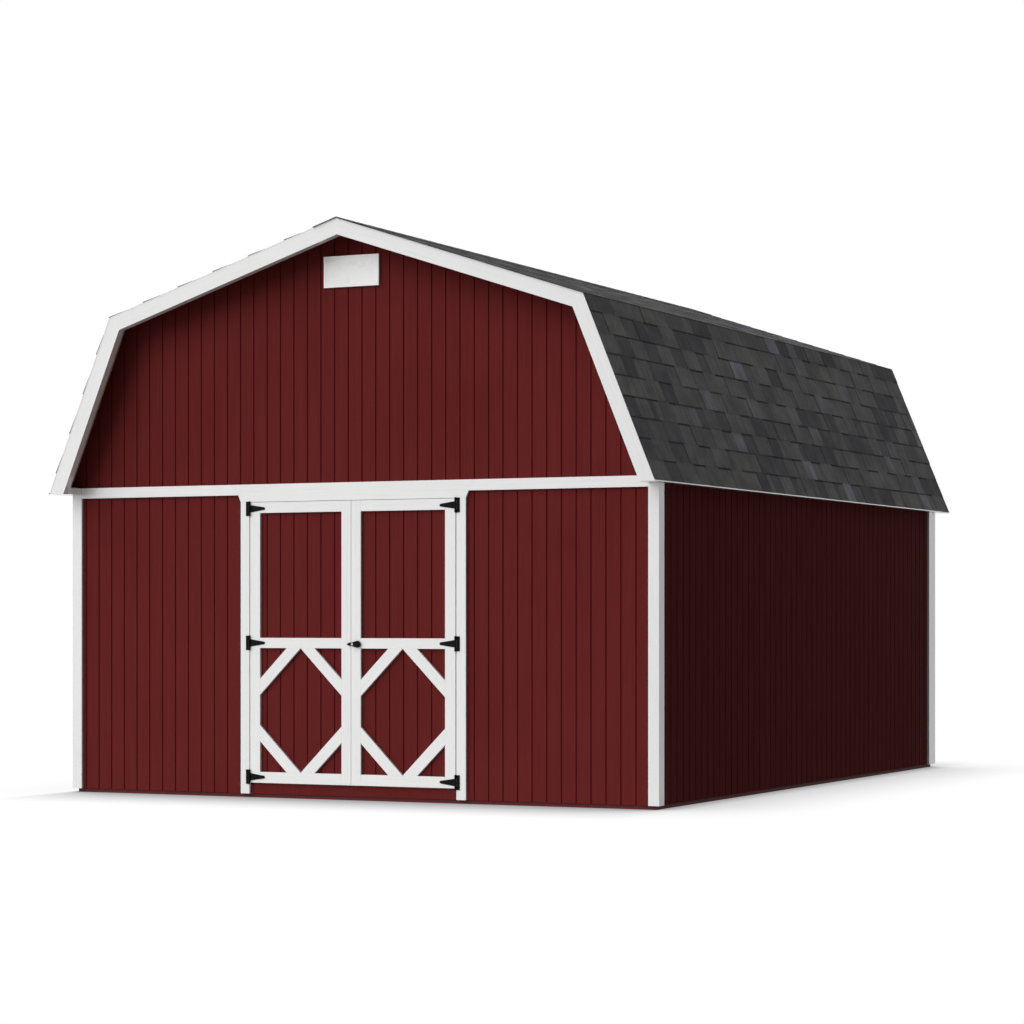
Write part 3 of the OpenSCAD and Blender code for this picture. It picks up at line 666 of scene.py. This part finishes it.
def make_door_trim(side, flip):
    """Stiles, rails and four slanted boards of one door; flip is 1 on the right and -1 on the left."""
    left, right = LEAF_LOW.x - MEETING_LIP, LEAF_HIGH.x
    low, high = LEAF_LOW.z, LEAF_HIGH.z + TOP_LIP
    inner, outer = LEAF_LOW.x + MEETING_STILE_W, right - HINGE_STILE_W
    middle, run = (inner + outer) / 2, (outer - inner) / 2
    rail_low, rail_high = MID_RAIL_Z - MID_RAIL_H / 2, MID_RAIL_Z + MID_RAIL_H / 2
    foot, level = low + BOTTOM_RAIL_H, BRACE_W * math.sqrt(2)
    blocks = [(left, low, inner, high, 1), (outer, low, right, high, 1),
              (inner, low, outer, foot, 0), (inner, rail_low, outer, rail_high, 0),
              (inner, LEAF_HIGH.z - TOP_RAIL_H, outer, high, 0)]
    boards = []
    for x0, z0, x1, z1, upright in blocks:
        xs = sorted((flip * x0, flip * x1))
        boards.append(board((xs[0], -TRIM_Y, z0), (xs[1], -WALL_Y, z1), (1 - upright, 0, upright)))
    for hand in (1, -1):
        for base, rise in ((rail_low, -1), (foot, 1)):
            outline = [(0, 0), (level, 0), (run, run - level), (run, run)]
            shape = [(flip * (middle + hand * x), base + rise * z) for x, z in outline]
            boards.append(sawn_board(shape, -TRIM_Y, -WALL_Y, (flip * hand, 0, rise)))
    make_piece(side + "_door_boards", boards, WHITE, side + "_door", "trim", side + "_door_trim")


make_roof_trim()
make_eaves()
make_drip_edges()
make_corners()
make_front_trim()
make_door_trim("right", 1)
make_door_trim("left", -1)


# Louvred vent
VENT_BORDER = 0.016
VENT_SLATS = 12
VENT_SLAT_T = 0.0016
VENT_SLAT_LEAN = math.radians(85)
VENT_SLAT_LAP_SHARE = 1.02
VENT_SLAT_OUT = 0.0078
VENT_BACK_T = 0.003


def make_vent():
    low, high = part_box("gable_vent")
    left, right = low.x + VENT_BORDER, high.x - VENT_BORDER
    sill, head = low.z + VENT_BORDER, high.z - VENT_BORDER
    parts = [board(low, (high.x, high.y, sill), (1, 0, 0)),
             board((low.x, low.y, head), high, (1, 0, 0))]
    for x in (low.x, right):
        parts.append(board((x, low.y, sill), (x + VENT_BORDER, high.y, head), (0, 0, 1)))
    pitch = (head - sill) / VENT_SLATS
    half = pitch / math.sin(VENT_SLAT_LEAN) * VENT_SLAT_LAP_SHARE / 2
    lean = Matrix.Rotation(VENT_SLAT_LEAN, 3, "X")
    slat_y = (low.y + high.y) / 2 - VENT_SLAT_OUT
    for i in range(VENT_SLATS):
        slat = box_mesh((left, -half, -VENT_SLAT_T / 2), (right, half, VENT_SLAT_T / 2))
        eased(slat, VENT_SLAT_T / 4, segments=1)
        bmesh.ops.rotate(slat, cent=(0, 0, 0), matrix=lean, verts=slat.verts)
        bmesh.ops.translate(slat, vec=(0, slat_y, sill + (i + 0.5) * pitch), verts=slat.verts)
        parts.append(grained(slat, (1, 0, 0)))
    parts.append(board((left, high.y - VENT_BACK_T, sill), (right, high.y, head), (1, 0, 0)))
    make_piece("louvred_vent", parts, VENT_PLASTIC, "barn", "trim", "gable_vent")


make_vent()


# Shingles: heights over the roof line at the butt and at the top of the exposure
BASE_UNDER = -0.0039
LOWER_LAYERS = {"base": (-0.0016, -0.0033), "tab": (-0.0002, -0.0019)}
UPPER_LAYERS = {"base": (-0.0002, -0.0027), "tab": (0.0002, -0.0023)}
TUCK = 0.020
STRIP_L = (0.30, 0.70)
STRIP_GAP = 0.0008
TAB_W = (0.17, 0.30)
SLOT_W = (0.14, 0.25)
TAB_LAP = 0.0015
PALE_W = (0.15, 0.24)
PALE_TONE = 0.80
PALE_SHARE, CAP_PALE_SHARE = 0.24, 0.05
DARK_SHARE = 0.24
DARK_TONES, MID_TONES = (0.02, 0.24), (0.44, 0.74)
SLOT_DARK_TONES, SLOT_MID_TONES = (0.05, 0.30), (0.40, 0.66)
# Strengths of the band of painted shade on strips and on tabs
STRIP_BANDS = (0.6, 0.9, 1.0)
TAB_BANDS = (0.1, 0.1, 0.1, 0.8)
# Strengths of the painted shadow line at the start end of a tab
TAB_SIDE_SHADOWS = (0, 0, 0.7, 1.0)
FACING_OUT = 0.5
# How dark butts and sides are: near black on the lower slope, dark asphalt and painted shade under the
# tabs; lighter on the upper slope
LOWER_BUTTS = (0.95,)
UPPER_BUTTS = (0.55, 0.50, 1.0, 1.0)
TAB_EASE = 0.0004
EDGE_TAB_W = 0.17
EDGE_TAB_LIP = 0.0016
EDGE_TAB_RISE = (0.0052, -0.0003)
EDGE_TAB_UNDER = -0.0014
EDGE_TAB_TONES = (0.50, 0.62, 0.46)
EDGE_TAB_BUTT = 0.6
LOWER_EDGE_COURSES = range(1, 8, 2)
UPPER_EDGE_COURSES = range(0, 11, 2)
SLOPE_END_GAP = 0.004
CAP_BUTT = 0.6
CAP_L = 0.300
CAP_T = 0.0025
CAP_LIFT = -0.0010
CAP_REACH = 0.176


def wedge(start, end, foot, top, under, under_top, thick, thin):
    """A tapered tab: along a roof from start to end, up the slope from foot to top."""
    bm = box_mesh((start, foot, under), (end, top, thick))
    for vert in bm.verts:
        if vert.co.y > (foot + top) / 2:
            vert.co.z = thin if vert.co.z > (under + thick) / 2 else under_top
    return bm


def toned(bm, tone, start, butt, band=0.0, side=0.0):
    """Give a shingle its tone; how dark its butt and sides are, partly painted shade; its band of
    painted shade under the next course; and a painted shadow line at one side.
    """
    tones = bm.faces.layers.float.new("tab_tone")
    edges = bm.faces.layers.float.new("cut_edge_and_shade")
    bands = bm.faces.layers.float.new("shadow_band")
    lines = bm.faces.layers.float.new("side_shadow_line")
    rises = bm.verts.layers.float.new("course_rise")
    runs = bm.verts.layers.float.new("tab_run")
    bm.normal_update()
    for face in bm.faces:
        face[tones] = tone
        face[bands] = band
        face[lines] = side
        face[edges] = 0.0 if face.normal.z > FACING_OUT else butt
    for vert in bm.verts:
        vert[runs] = vert.co.x - start[0]
        vert[rises] = vert.co.y - start[1]
    return bm


def tab_tone(pale_share):
    """Mostly mid greys, with some dark tabs and a few pale bluish ones."""
    draw = rng.random()
    if draw < DARK_SHARE:
        return rng.uniform(*DARK_TONES)
    if draw > 1 - pale_share:
        return rng.uniform(PALE_TONE, 1.0)
    return rng.uniform(*MID_TONES)


def slot_tone():
    ranges = (SLOT_DARK_TONES, SLOT_MID_TONES, SLOT_MID_TONES)
    return rng.choice([rng.uniform(*tones) for tones in ranges])


def course(foot, top, reach, start_with_tab, layers, tab_butt):
    """One course: a base strip in lengths, and separate tabs over it."""
    parts = []
    share = (top - foot) / EXPOSURE
    base, base_top = layers["base"]
    tab_thick, tab_top = layers["tab"]
    base_thin = base + (base_top - base) * share
    tab_thin = tab_thick + (tab_top - tab_thick) * share
    place = -reach
    while place < reach:
        end = min(place + rng.uniform(*STRIP_L), reach)
        strip = wedge(place, end - STRIP_GAP, foot, top, BASE_UNDER, BASE_UNDER, base, base_thin)
        tone = slot_tone()
        parts.append(toned(strip, tone, (place, foot), tab_butt, band=rng.choice(STRIP_BANDS)))
        place = end
    place, tab = -reach, start_with_tab
    while place < reach:
        tone = tab_tone(PALE_SHARE * (place + reach) / (2 * reach))
        width = SLOT_W if not tab else PALE_W if tone > PALE_TONE else TAB_W
        end = min(place + rng.uniform(*width), reach)
        if tab:
            piece = wedge(place, end, foot - TAB_LAP, top,
                          base - TAB_LAP, BASE_UNDER, tab_thick, tab_thin)
            eased(piece, TAB_EASE, segments=1)
            band, side = rng.choice(TAB_BANDS), rng.choice(TAB_SIDE_SHADOWS)
            parts.append(toned(piece, tone, (place, foot), tab_butt, band, side))
        place, tab = end, not tab
    return parts


def edge_tabs(foot, reach, tone):
    """The thicker ends of a course, lapped over the white strips of the rakes."""
    parts = []
    low, top = foot - TAB_LAP, foot + EXPOSURE - 2 * TAB_LAP
    inner, outer = reach - EDGE_TAB_W, reach + EDGE_TAB_LIP
    for start, end in ((inner, outer), (-outer, -inner)):
        tab = wedge(start, end, low, top, EDGE_TAB_UNDER, EDGE_TAB_UNDER, *EDGE_TAB_RISE)
        eased(tab, TAB_EASE, segments=1)
        parts.append(toned(tab, tone, (start, foot), EDGE_TAB_BUTT))
    return parts


def slope_frame(foot, pitch, flip):
    """Places a slope's own axes: along the roof, up the slope and outwards."""
    up = Vector((-flip * math.cos(pitch), 0, math.sin(pitch)))
    out = Vector((flip * math.sin(pitch), 0, math.cos(pitch)))
    along = Vector((0, flip, 0))
    turn = Matrix((along, up, out)).transposed().to_4x4()
    return Matrix.Translation((flip * foot[0], 0, foot[1])) @ turn


def make_slope(foot, length, pitch, flip, layers, butts, edge_courses):
    """All courses of one slope, laid from its foot upwards."""
    parts = []
    count = math.ceil(length / EXPOSURE)
    reach = SHINGLE_Y if flip == 1 else RAKE_Y
    frame_of_slope = slope_frame(foot, pitch, flip)
    for i in range(count):
        low = i * EXPOSURE
        top = min(low + EXPOSURE + TUCK, length - SLOPE_END_GAP)
        parts += course(low, top, reach, i % 2 == 0, layers, butts[i % len(butts)])
        if i in edge_courses:
            parts += edge_tabs(low, reach, EDGE_TAB_TONES[i % len(EDGE_TAB_TONES)])
    for part in parts:
        bmesh.ops.transform(part, matrix=frame_of_slope, verts=part.verts)
    return parts


def make_roof():
    foot = (lower_x(EAVE_Z + EAVE_REVEAL, 0), EAVE_Z + EAVE_REVEAL)
    lower_length = math.hypot(foot[0] - BREAK_X, BREAK_Z - foot[1])
    upper_length = math.hypot(BREAK_X, RIDGE_Z - BREAK_Z)
    lower, upper = [], []
    for flip in (1, -1):
        ends = (LOWER_EDGE_COURSES, UPPER_EDGE_COURSES) if flip == -1 else ((), ())
        lower += make_slope(foot, lower_length, LOWER_PITCH, flip,
                            LOWER_LAYERS, LOWER_BUTTS, ends[0])
        upper += make_slope((BREAK_X, BREAK_Z), upper_length, UPPER_PITCH, flip,
                            UPPER_LAYERS, UPPER_BUTTS, ends[1])
    make_piece("lower_shingle_courses", lower, LOWER_SHINGLES, "barn", "shingles", "lower_shingles")
    make_piece("upper_shingle_courses", upper, UPPER_SHINGLES, "barn", "shingles", "upper_shingles")


def make_ridge_caps():
    caps = []
    count = math.ceil(2 * SHINGLE_Y / EXPOSURE)
    foot, crest = upper_z(CAP_REACH, -CAP_LIFT), upper_z(0, -CAP_LIFT)
    outline = [(CAP_REACH, foot), (0, crest), (-CAP_REACH, foot),
               (-CAP_REACH, foot + CAP_T), (0, crest + CAP_T), (CAP_REACH, foot + CAP_T)]
    for i in range(count):
        start = -SHINGLE_Y + i * EXPOSURE
        end = min(start + CAP_L, SHINGLE_Y)
        cap = eased(outline_mesh(outline, start, end), TAB_EASE, segments=1)
        for vert in cap.verts:
            vert.co.z += (start + EXPOSURE - vert.co.y) * CAP_T / CAP_L
        caps.append(toned(cap, tab_tone(CAP_PALE_SHARE), (0, start), CAP_BUTT))
    make_piece("ridge_cap_shingles", caps, UPPER_SHINGLES, "barn", "shingles", "ridge_cap")


make_roof()
make_ridge_caps()


# Hinges
HINGE_X = (LEAF_HIGH.x + JAMB_X) / 2
PIN_OUT = 0.0085
PIN_Y = -TRIM_Y - PIN_OUT
PIN_R, PIN_PLAY = 0.003, 0.0001
PIN_LIP, PIN_DOME, DOME_SHARE = 0.0016, 0.0022, 0.7
HINGE_H, HINGE_W, HINGE_T = 0.095, 0.028, 0.004
HINGE_INSET = 0.038
HINGE_HEIGHTS = (LEAF_LOW.z + HINGE_INSET, MID_RAIL_Z, LEAF_HIGH.z - HINGE_INSET)
STRAP_L, STRAP_ROOT, STRAP_TIP = 0.116, 0.050, 0.018
STRAP_SCREW_SHARES = ((0.24, 0.26), (0.24, -0.26), (0.58, 0), (0.90, 0))
KNUCKLE_R, KNUCKLE_L, KNUCKLE_GAP, KNUCKLE_EASE = 0.0065, 0.020, 0.001, 0.0008
SCREW_R, SCREW_T, SCREW_SINK = 0.0042, 0.0022, 0.0005
SOCKET_SHARE, SCREW_RIM_SHARE, SCREW_TOP_SHARE = 0.42, 0.35, 0.72
PLATE_SCREW_SHARE = 0.68
TIP_STEPS = 8
KNUCKLE_STEPS, PIN_STEPS, SCREW_STEPS = 24, 20, 14
WELD_GAP = 0.00005


def turned(profile, steps):
    """A part turned on a lathe about the z axis from (radius, height) points."""
    bm = bmesh.new()
    points = [bm.verts.new((r, 0, z)) for r, z in profile]
    edges = [bm.edges.new(pair) for pair in zip(points, points[1:])]
    bmesh.ops.spin(bm, geom=points + edges, cent=(0, 0, 0), axis=(0, 0, 1), angle=2 * math.pi,
                   steps=steps, use_merge=True)
    bmesh.ops.remove_doubles(bm, verts=bm.verts, dist=WELD_GAP)
    bmesh.ops.recalc_face_normals(bm, faces=bm.faces)
    return bm


def facing_front(bm, place):
    """Turn a part from the z axis to face the front, and put it in place."""
    quarter = Matrix.Rotation(math.radians(90), 3, "X")
    bmesh.ops.rotate(bm, cent=(0, 0, 0), matrix=quarter, verts=bm.verts)
    bmesh.ops.translate(bm, vec=place, verts=bm.verts)
    return bm


def round_tip(tip_x, radius, z, flip):
    """Points round the free end of a plate, from its upper edge to its lower one."""
    points = []
    for i in range(TIP_STEPS + 1):
        angle = math.radians(90 + i * 180 / TIP_STEPS)
        points.append((flip * (tip_x + radius * math.cos(angle)), z + radius * math.sin(angle)))
    return points


def knuckle(x, low, high):
    """A rolled tube round the pin, with eased ends."""
    bore, shoulder = PIN_R + PIN_PLAY, KNUCKLE_R - KNUCKLE_EASE
    profile = [(bore, low), (shoulder, low), (KNUCKLE_R, low + KNUCKLE_EASE),
               (KNUCKLE_R, high - KNUCKLE_EASE), (shoulder, high), (bore, high), (bore, low)]
    bm = turned(profile, KNUCKLE_STEPS)
    bmesh.ops.translate(bm, vec=(x, PIN_Y, 0), verts=bm.verts)
    return bm


def hinge_pin(x, z):
    """A pin with a domed head at each end."""
    half, head = HINGE_H / 2, PIN_R + PIN_LIP
    brow, rise = head * DOME_SHARE, PIN_DOME * DOME_SHARE
    profile = [(0, -half - PIN_DOME), (brow, -half - rise), (head, -half), (PIN_R, -half),
               (PIN_R, half), (head, half), (brow, half + rise), (0, half + PIN_DOME)]
    bm = turned(profile, PIN_STEPS)
    bmesh.ops.translate(bm, vec=(x, PIN_Y, z), verts=bm.verts)
    return bm


def screw(x, z, face_y):
    """A pan head with a round socket."""
    socket, rim = SCREW_R * SOCKET_SHARE, SCREW_T * SCREW_RIM_SHARE
    profile = [(0, -SCREW_SINK), (SCREW_R, -SCREW_SINK), (SCREW_R, rim),
               (SCREW_R * SCREW_TOP_SHARE, SCREW_T), (socket, SCREW_T), (socket, rim), (0, rim)]
    return facing_front(turned(profile, SCREW_STEPS), (x, face_y, z))


def make_hinge_plates():
    parts = []
    half, face_y = HINGE_H / 2, -TRIM_Y - HINGE_T
    for flip in (1, -1):
        pin_x = flip * HINGE_X
        plate_x = pin_x + flip * (KNUCKLE_R + KNUCKLE_GAP)
        outer_x = pin_x + flip * HINGE_W
        for z in HINGE_HEIGHTS:
            top, ear = z + half, z + half - KNUCKLE_L
            low, low_ear = z - half, z - half + KNUCKLE_L
            outline = [(pin_x, top), (pin_x, ear), (plate_x, ear), (plate_x, low_ear), (pin_x, low_ear),
                       (pin_x, low), (outer_x, low), (outer_x, top)]
            parts.append(eased(outline_mesh(outline, face_y, -TRIM_Y), IRON_EASE))
            for start in (low, ear):
                parts.append(knuckle(pin_x, start, start + KNUCKLE_L))
            parts.append(hinge_pin(pin_x, z))
            for step in (-1, 0, 1):
                screw_z = z + step * half * PLATE_SCREW_SHARE
                parts.append(screw((plate_x + outer_x) / 2, screw_z, face_y))
    make_piece("hinge_fixed_plates", parts, BLACK, "barn", "hardware", "hinge_plates")


def make_straps(side, flip):
    parts = []
    face_y = -TRIM_Y - HINGE_T
    pin_x = flip * HINGE_X
    tip_r = STRAP_TIP / 2
    tip_x = HINGE_X - STRAP_L + tip_r
    length = HINGE_H - 2 * KNUCKLE_L - 2 * KNUCKLE_GAP
    for z in HINGE_HEIGHTS:
        outline = [(pin_x, z - STRAP_ROOT / 2), (pin_x, z + STRAP_ROOT / 2)]
        outline += round_tip(tip_x, tip_r, z, flip)
        parts.append(eased(outline_mesh(outline, face_y, -TRIM_Y), IRON_EASE))
        parts.append(knuckle(pin_x, z - length / 2, z + length / 2))
        for reach, rise in STRAP_SCREW_SHARES:
            parts.append(screw(flip * (HINGE_X - STRAP_L * reach), z + rise * STRAP_ROOT, face_y))
    make_piece(side + "_strap_hinges", parts, BLACK, side + "_door", "hardware", side + "_hinge_straps")


make_hinge_plates()
make_straps("right", 1)
make_straps("left", -1)


# Latch
LATCH_DROP = 0.006
LATCH_X, LATCH_Z = 0.018, MID_RAIL_Z - LATCH_DROP
ROSE_R, ROSE_T, ROSE_EASE, ROSE_STEPS = 0.012, 0.006, 0.001, 32
HANDLE_T, HANDLE_GAP, HANDLE_ROUND, HANDLE_STEPS = 0.012, 0.0003, 0.0050, 40
FLAT_ANGLE = 0.02
NECK_R, GRIP_R, GRIP_X = 0.013, 0.0225, 0.034
LOCK_R, LOCK_T, LOCK_EASE, LOCK_STEPS = 0.007, 0.002, 0.0006, 32
KEYWAY_W, KEYWAY_H, KEYWAY_DEEP = 0.0016, 0.0070, 0.002
KEEPER_L, KEEPER_H, KEEPER_TIP_R, KEEPER_EASE = 0.022, 0.025, 0.005, 0.0018
NEAR_TOP_SHARE = 0.9


def front_rim(bm, height):
    """Edges at the front end of a part that still lies along the z axis."""
    return [e for e in bm.edges if all(v.co.z > height * NEAR_TOP_SHARE for v in e.verts)]


def make_latch_handle():
    """A pear-shaped turn handle, rounded over its front."""
    bm = bmesh.new()
    for x, radius in ((0, NECK_R), (GRIP_X, GRIP_R)):
        place = Matrix.Translation((x, 0, HANDLE_T / 2))
        bmesh.ops.create_cone(bm, cap_ends=True, segments=HANDLE_STEPS, radius1=radius, radius2=radius,
                              depth=HANDLE_T, matrix=place)
    hull = bmesh.ops.convex_hull(bm, input=bm.verts)
    spare = hull["geom_interior"] + hull["geom_unused"]
    bmesh.ops.delete(bm, geom=[g for g in spare if isinstance(g, bmesh.types.BMVert)], context="VERTS")
    bmesh.ops.dissolve_limit(bm, angle_limit=FLAT_ANGLE, verts=bm.verts, edges=bm.edges)
    bm.normal_update()
    bmesh.ops.bevel(bm, geom=front_rim(bm, HANDLE_T), offset=HANDLE_ROUND, affect="EDGES", segments=4,
                    profile=0.5, material=-1, clamp_overlap=True)
    facing_front(bm, (LATCH_X, -TRIM_Y - ROSE_T - HANDLE_GAP, LATCH_Z))
    make_piece("latch_turn_handle", [bm], BLACK, "latch", "hardware", "latch_handle")


def make_latch_lock():
    """A round lock with a keyway sunk in its face."""
    height = HANDLE_T + LOCK_T
    bm = bmesh.new()
    bmesh.ops.create_cone(bm, cap_ends=True, segments=LOCK_STEPS, radius1=LOCK_R, radius2=LOCK_R,
                          depth=height, matrix=Matrix.Translation((0, 0, height / 2)))
    bmesh.ops.bevel(bm, geom=front_rim(bm, height), offset=LOCK_EASE, affect="EDGES", segments=2,
                    profile=0.5, material=-1)
    for axis, half in ((Vector((1, 0, 0)), KEYWAY_W / 2), (Vector((0, 1, 0)), KEYWAY_H / 2)):
        for side in (1, -1):
            bmesh.ops.bisect_plane(bm, geom=bm.verts[:] + bm.edges[:] + bm.faces[:],
                                   plane_co=axis * half * side, plane_no=axis)
    bm.normal_update()
    keyway = []
    for face in bm.faces:
        middle = face.calc_center_median()
        inside = abs(middle.x) < KEYWAY_W / 2 and abs(middle.y) < KEYWAY_H / 2
        if inside and face.normal.z > NEAR_TOP_SHARE:
            keyway.append(face)
    sunk = bmesh.ops.extrude_face_region(bm, geom=keyway)["geom"]
    sunk = [g for g in sunk if isinstance(g, bmesh.types.BMVert)]
    bmesh.ops.translate(bm, vec=(0, 0, -KEYWAY_DEEP), verts=sunk)
    facing_front(bm, (LATCH_X, -TRIM_Y - ROSE_T - HANDLE_GAP, LATCH_Z))
    make_piece("latch_lock", [bm], STEEL, "latch", "hardware")


def make_latch_plates():
    profile = [(0, 0), (ROSE_R, 0), (ROSE_R, ROSE_T - ROSE_EASE),
               (ROSE_R - ROSE_EASE, ROSE_T), (0, ROSE_T)]
    rose = facing_front(turned(profile, ROSE_STEPS), (LATCH_X, -TRIM_Y, LATCH_Z))
    make_piece("latch_round_rose", [rose], BLACK, "right_door", "hardware", "latch_rose")
    edge_x = -LEAF_LOW.x
    tip_x = edge_x - KEEPER_L + KEEPER_TIP_R
    outline = [(edge_x, LATCH_Z - KEEPER_H / 2), (edge_x, LATCH_Z + KEEPER_H / 2)]
    outline += round_tip(tip_x, KEEPER_TIP_R, LATCH_Z, 1)
    face_y = -TRIM_Y - ROSE_T - HANDLE_T / 2
    keeper = eased(outline_mesh(outline, face_y, -TRIM_Y), KEEPER_EASE, segments=3)
    make_piece("latch_pointed_keeper", [keeper], BLACK, "left_door", "hardware", "latch_keeper")


make_latch_handle()
make_latch_lock()
make_latch_plates()


# Plywood floor inside
SHEET_L, SHEET_W = 2.438, 1.219
SHEET_GAP = 0.002


def make_floor_sheets():
    """Sheets laid across the joists, with staggered joints."""
    low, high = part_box("floor_boards")
    sheets = []
    for row in range(math.ceil((high.y - low.y) / SHEET_W)):
        start_y = low.y + row * SHEET_W
        end_y = min(start_y + SHEET_W, high.y) - SHEET_GAP
        start_x = low.x - (row % 2) * SHEET_L / 2
        while start_x < high.x:
            corner = (max(start_x, low.x), start_y, low.z)
            end_x = min(start_x + SHEET_L, high.x) - SHEET_GAP
            sheets.append(board(corner, (end_x, end_y, high.z), (1, 0, 0)))
            start_x += SHEET_L
    make_piece("floor_sheets", sheets, FLOOR_PLY, "barn", "floor_boards", "floor_boards")


make_floor_sheets()


# Camera, light and floor
FOCAL_PX = 2801.2
FRAME_PX = 1024
AIM_PX = (567.6, 616.83)
SENSOR = 36.0
CAMERA_PLACE = (8.936, -18.562, 1.187)
CAMERA_TURN = math.radians(25.087)
CLIP_END = 500.0


def make_camera():
    data = bpy.data.cameras.new("camera")
    data.sensor_width = SENSOR
    data.lens = SENSOR * FOCAL_PX / FRAME_PX
    data.shift_x = (FRAME_PX / 2 - AIM_PX[0]) / FRAME_PX
    data.shift_y = (AIM_PX[1] - FRAME_PX / 2) / FRAME_PX
    data.clip_end = CLIP_END
    camera = bpy.data.objects.new("camera", data)
    camera.location = CAMERA_PLACE
    camera.rotation_euler = (math.radians(90), 0, CAMERA_TURN)
    bpy.context.scene.collection.objects.link(camera)
    bpy.context.scene.camera = camera


KEY_STRENGTH = 3.56
KEY_ANGLE = math.radians(75)
KEY_TOWARDS = Vector((0.550, 0.615, -0.565))
SKY_STRENGTH = 0.22


def make_lamp():
    """A broad lamp far away, for matt shading only: gloss comes from the white surroundings."""
    sun = bpy.data.lights.new("key", "SUN")
    sun.energy = KEY_STRENGTH
    sun.angle = KEY_ANGLE
    lamp = bpy.data.objects.new("key", sun)
    lamp.visible_glossy = False
    lamp.rotation_euler = KEY_TOWARDS.to_track_quat("-Z", "Y").to_euler()
    bpy.context.scene.collection.objects.link(lamp)


def seen_rays(tree):
    """1 for rays that show the backdrop: seen straight on, mirrored or through glass."""
    path = add(tree, "LightPath")
    seen = path.outputs["Is Camera Ray"]
    for other in ("Is Glossy Ray", "Is Transmission Ray"):
        seen = worked(tree, "MAXIMUM", seen, path.outputs[other])
    return seen


def make_sky():
    world = bpy.data.worlds.new("sky")
    bpy.context.scene.world = world
    world.use_nodes = True
    tree = world.node_tree
    strength = span(tree, seen_rays(tree), 0, 1, SKY_STRENGTH, 1.0)
    tree.links.new(strength, tree.nodes["Background"].inputs["Strength"])
    tree.nodes["Background"].inputs["Color"].default_value = (1, 1, 1, 1)


FLOOR_HALF = 120.0
LIT_BOUNCE, SHADED_BOUNCE = 0.56, 0.045
BOUNCE_FADE = 0.5
CONTACT_REACH = 1.0
CONTACT_OPEN = (0.5, 1.0)
CONTACT_SAMPLES = 16
CONTACT_SHADE = 0.37
LEFT_SHADE_SHARE = 0.12
RIGHT_SHADE_SHARE = 0.65
LEFT_FADE_OUT, LEFT_FADE_IN, RIGHT_FADE = 0.06, 0.02, 0.15


def make_floor():
    """A white floor that keeps a soft shadow where the barn stands close over it."""
    bm = bmesh.new()
    bmesh.ops.create_grid(bm, x_segments=1, y_segments=1, size=FLOOR_HALF)
    mesh = bpy.data.meshes.new("floor")
    bm.to_mesh(mesh)
    bm.free()
    finish = bpy.data.materials.new("white_floor")
    finish.use_nodes = True
    tree = finish.node_tree
    tree.nodes.clear()
    reach = {"Distance": CONTACT_REACH}
    near = add(tree, "AmbientOcclusion", reach, samples=CONTACT_SAMPLES).outputs["AO"]
    x = add(tree, "SeparateXYZ", {"Vector": object_space(tree)}).outputs["X"]
    left = span(tree, x, -TRIM_X - LEFT_FADE_OUT, -TRIM_X + LEFT_FADE_IN, LEFT_SHADE_SHARE, 1.0)
    right = span(tree, x, TRIM_X, TRIM_X + RIGHT_FADE, 1.0, RIGHT_SHADE_SHARE)
    deep = product(tree, span(tree, near, *CONTACT_OPEN, 1.0, 0.0), product(tree, left, right))
    shade = span(tree, deep, 0.0, 1.0, 1.0, CONTACT_SHADE)
    bounce = span(tree, x, TRIM_X, TRIM_X + BOUNCE_FADE, LIT_BOUNCE, SHADED_BOUNCE)
    matt = add(tree, "BsdfDiffuse", {"Color": bounce}).outputs["BSDF"]
    bright = add(tree, "Emission", {"Color": (1, 1, 1, 1), "Strength": shade}).outputs["Emission"]
    blend = add(tree, "MixShader", {0: seen_rays(tree), 1: matt, 2: bright})
    add(tree, "OutputMaterial", {"Surface": blend.outputs["Shader"]})
    mesh.materials.append(finish)
    floor = bpy.data.objects.new("floor", mesh)
    bpy.context.scene.collection.objects.link(floor)


make_camera()
make_lamp()
make_sky()
make_floor()
bpy.context.scene.view_settings.view_transform = "Standard"
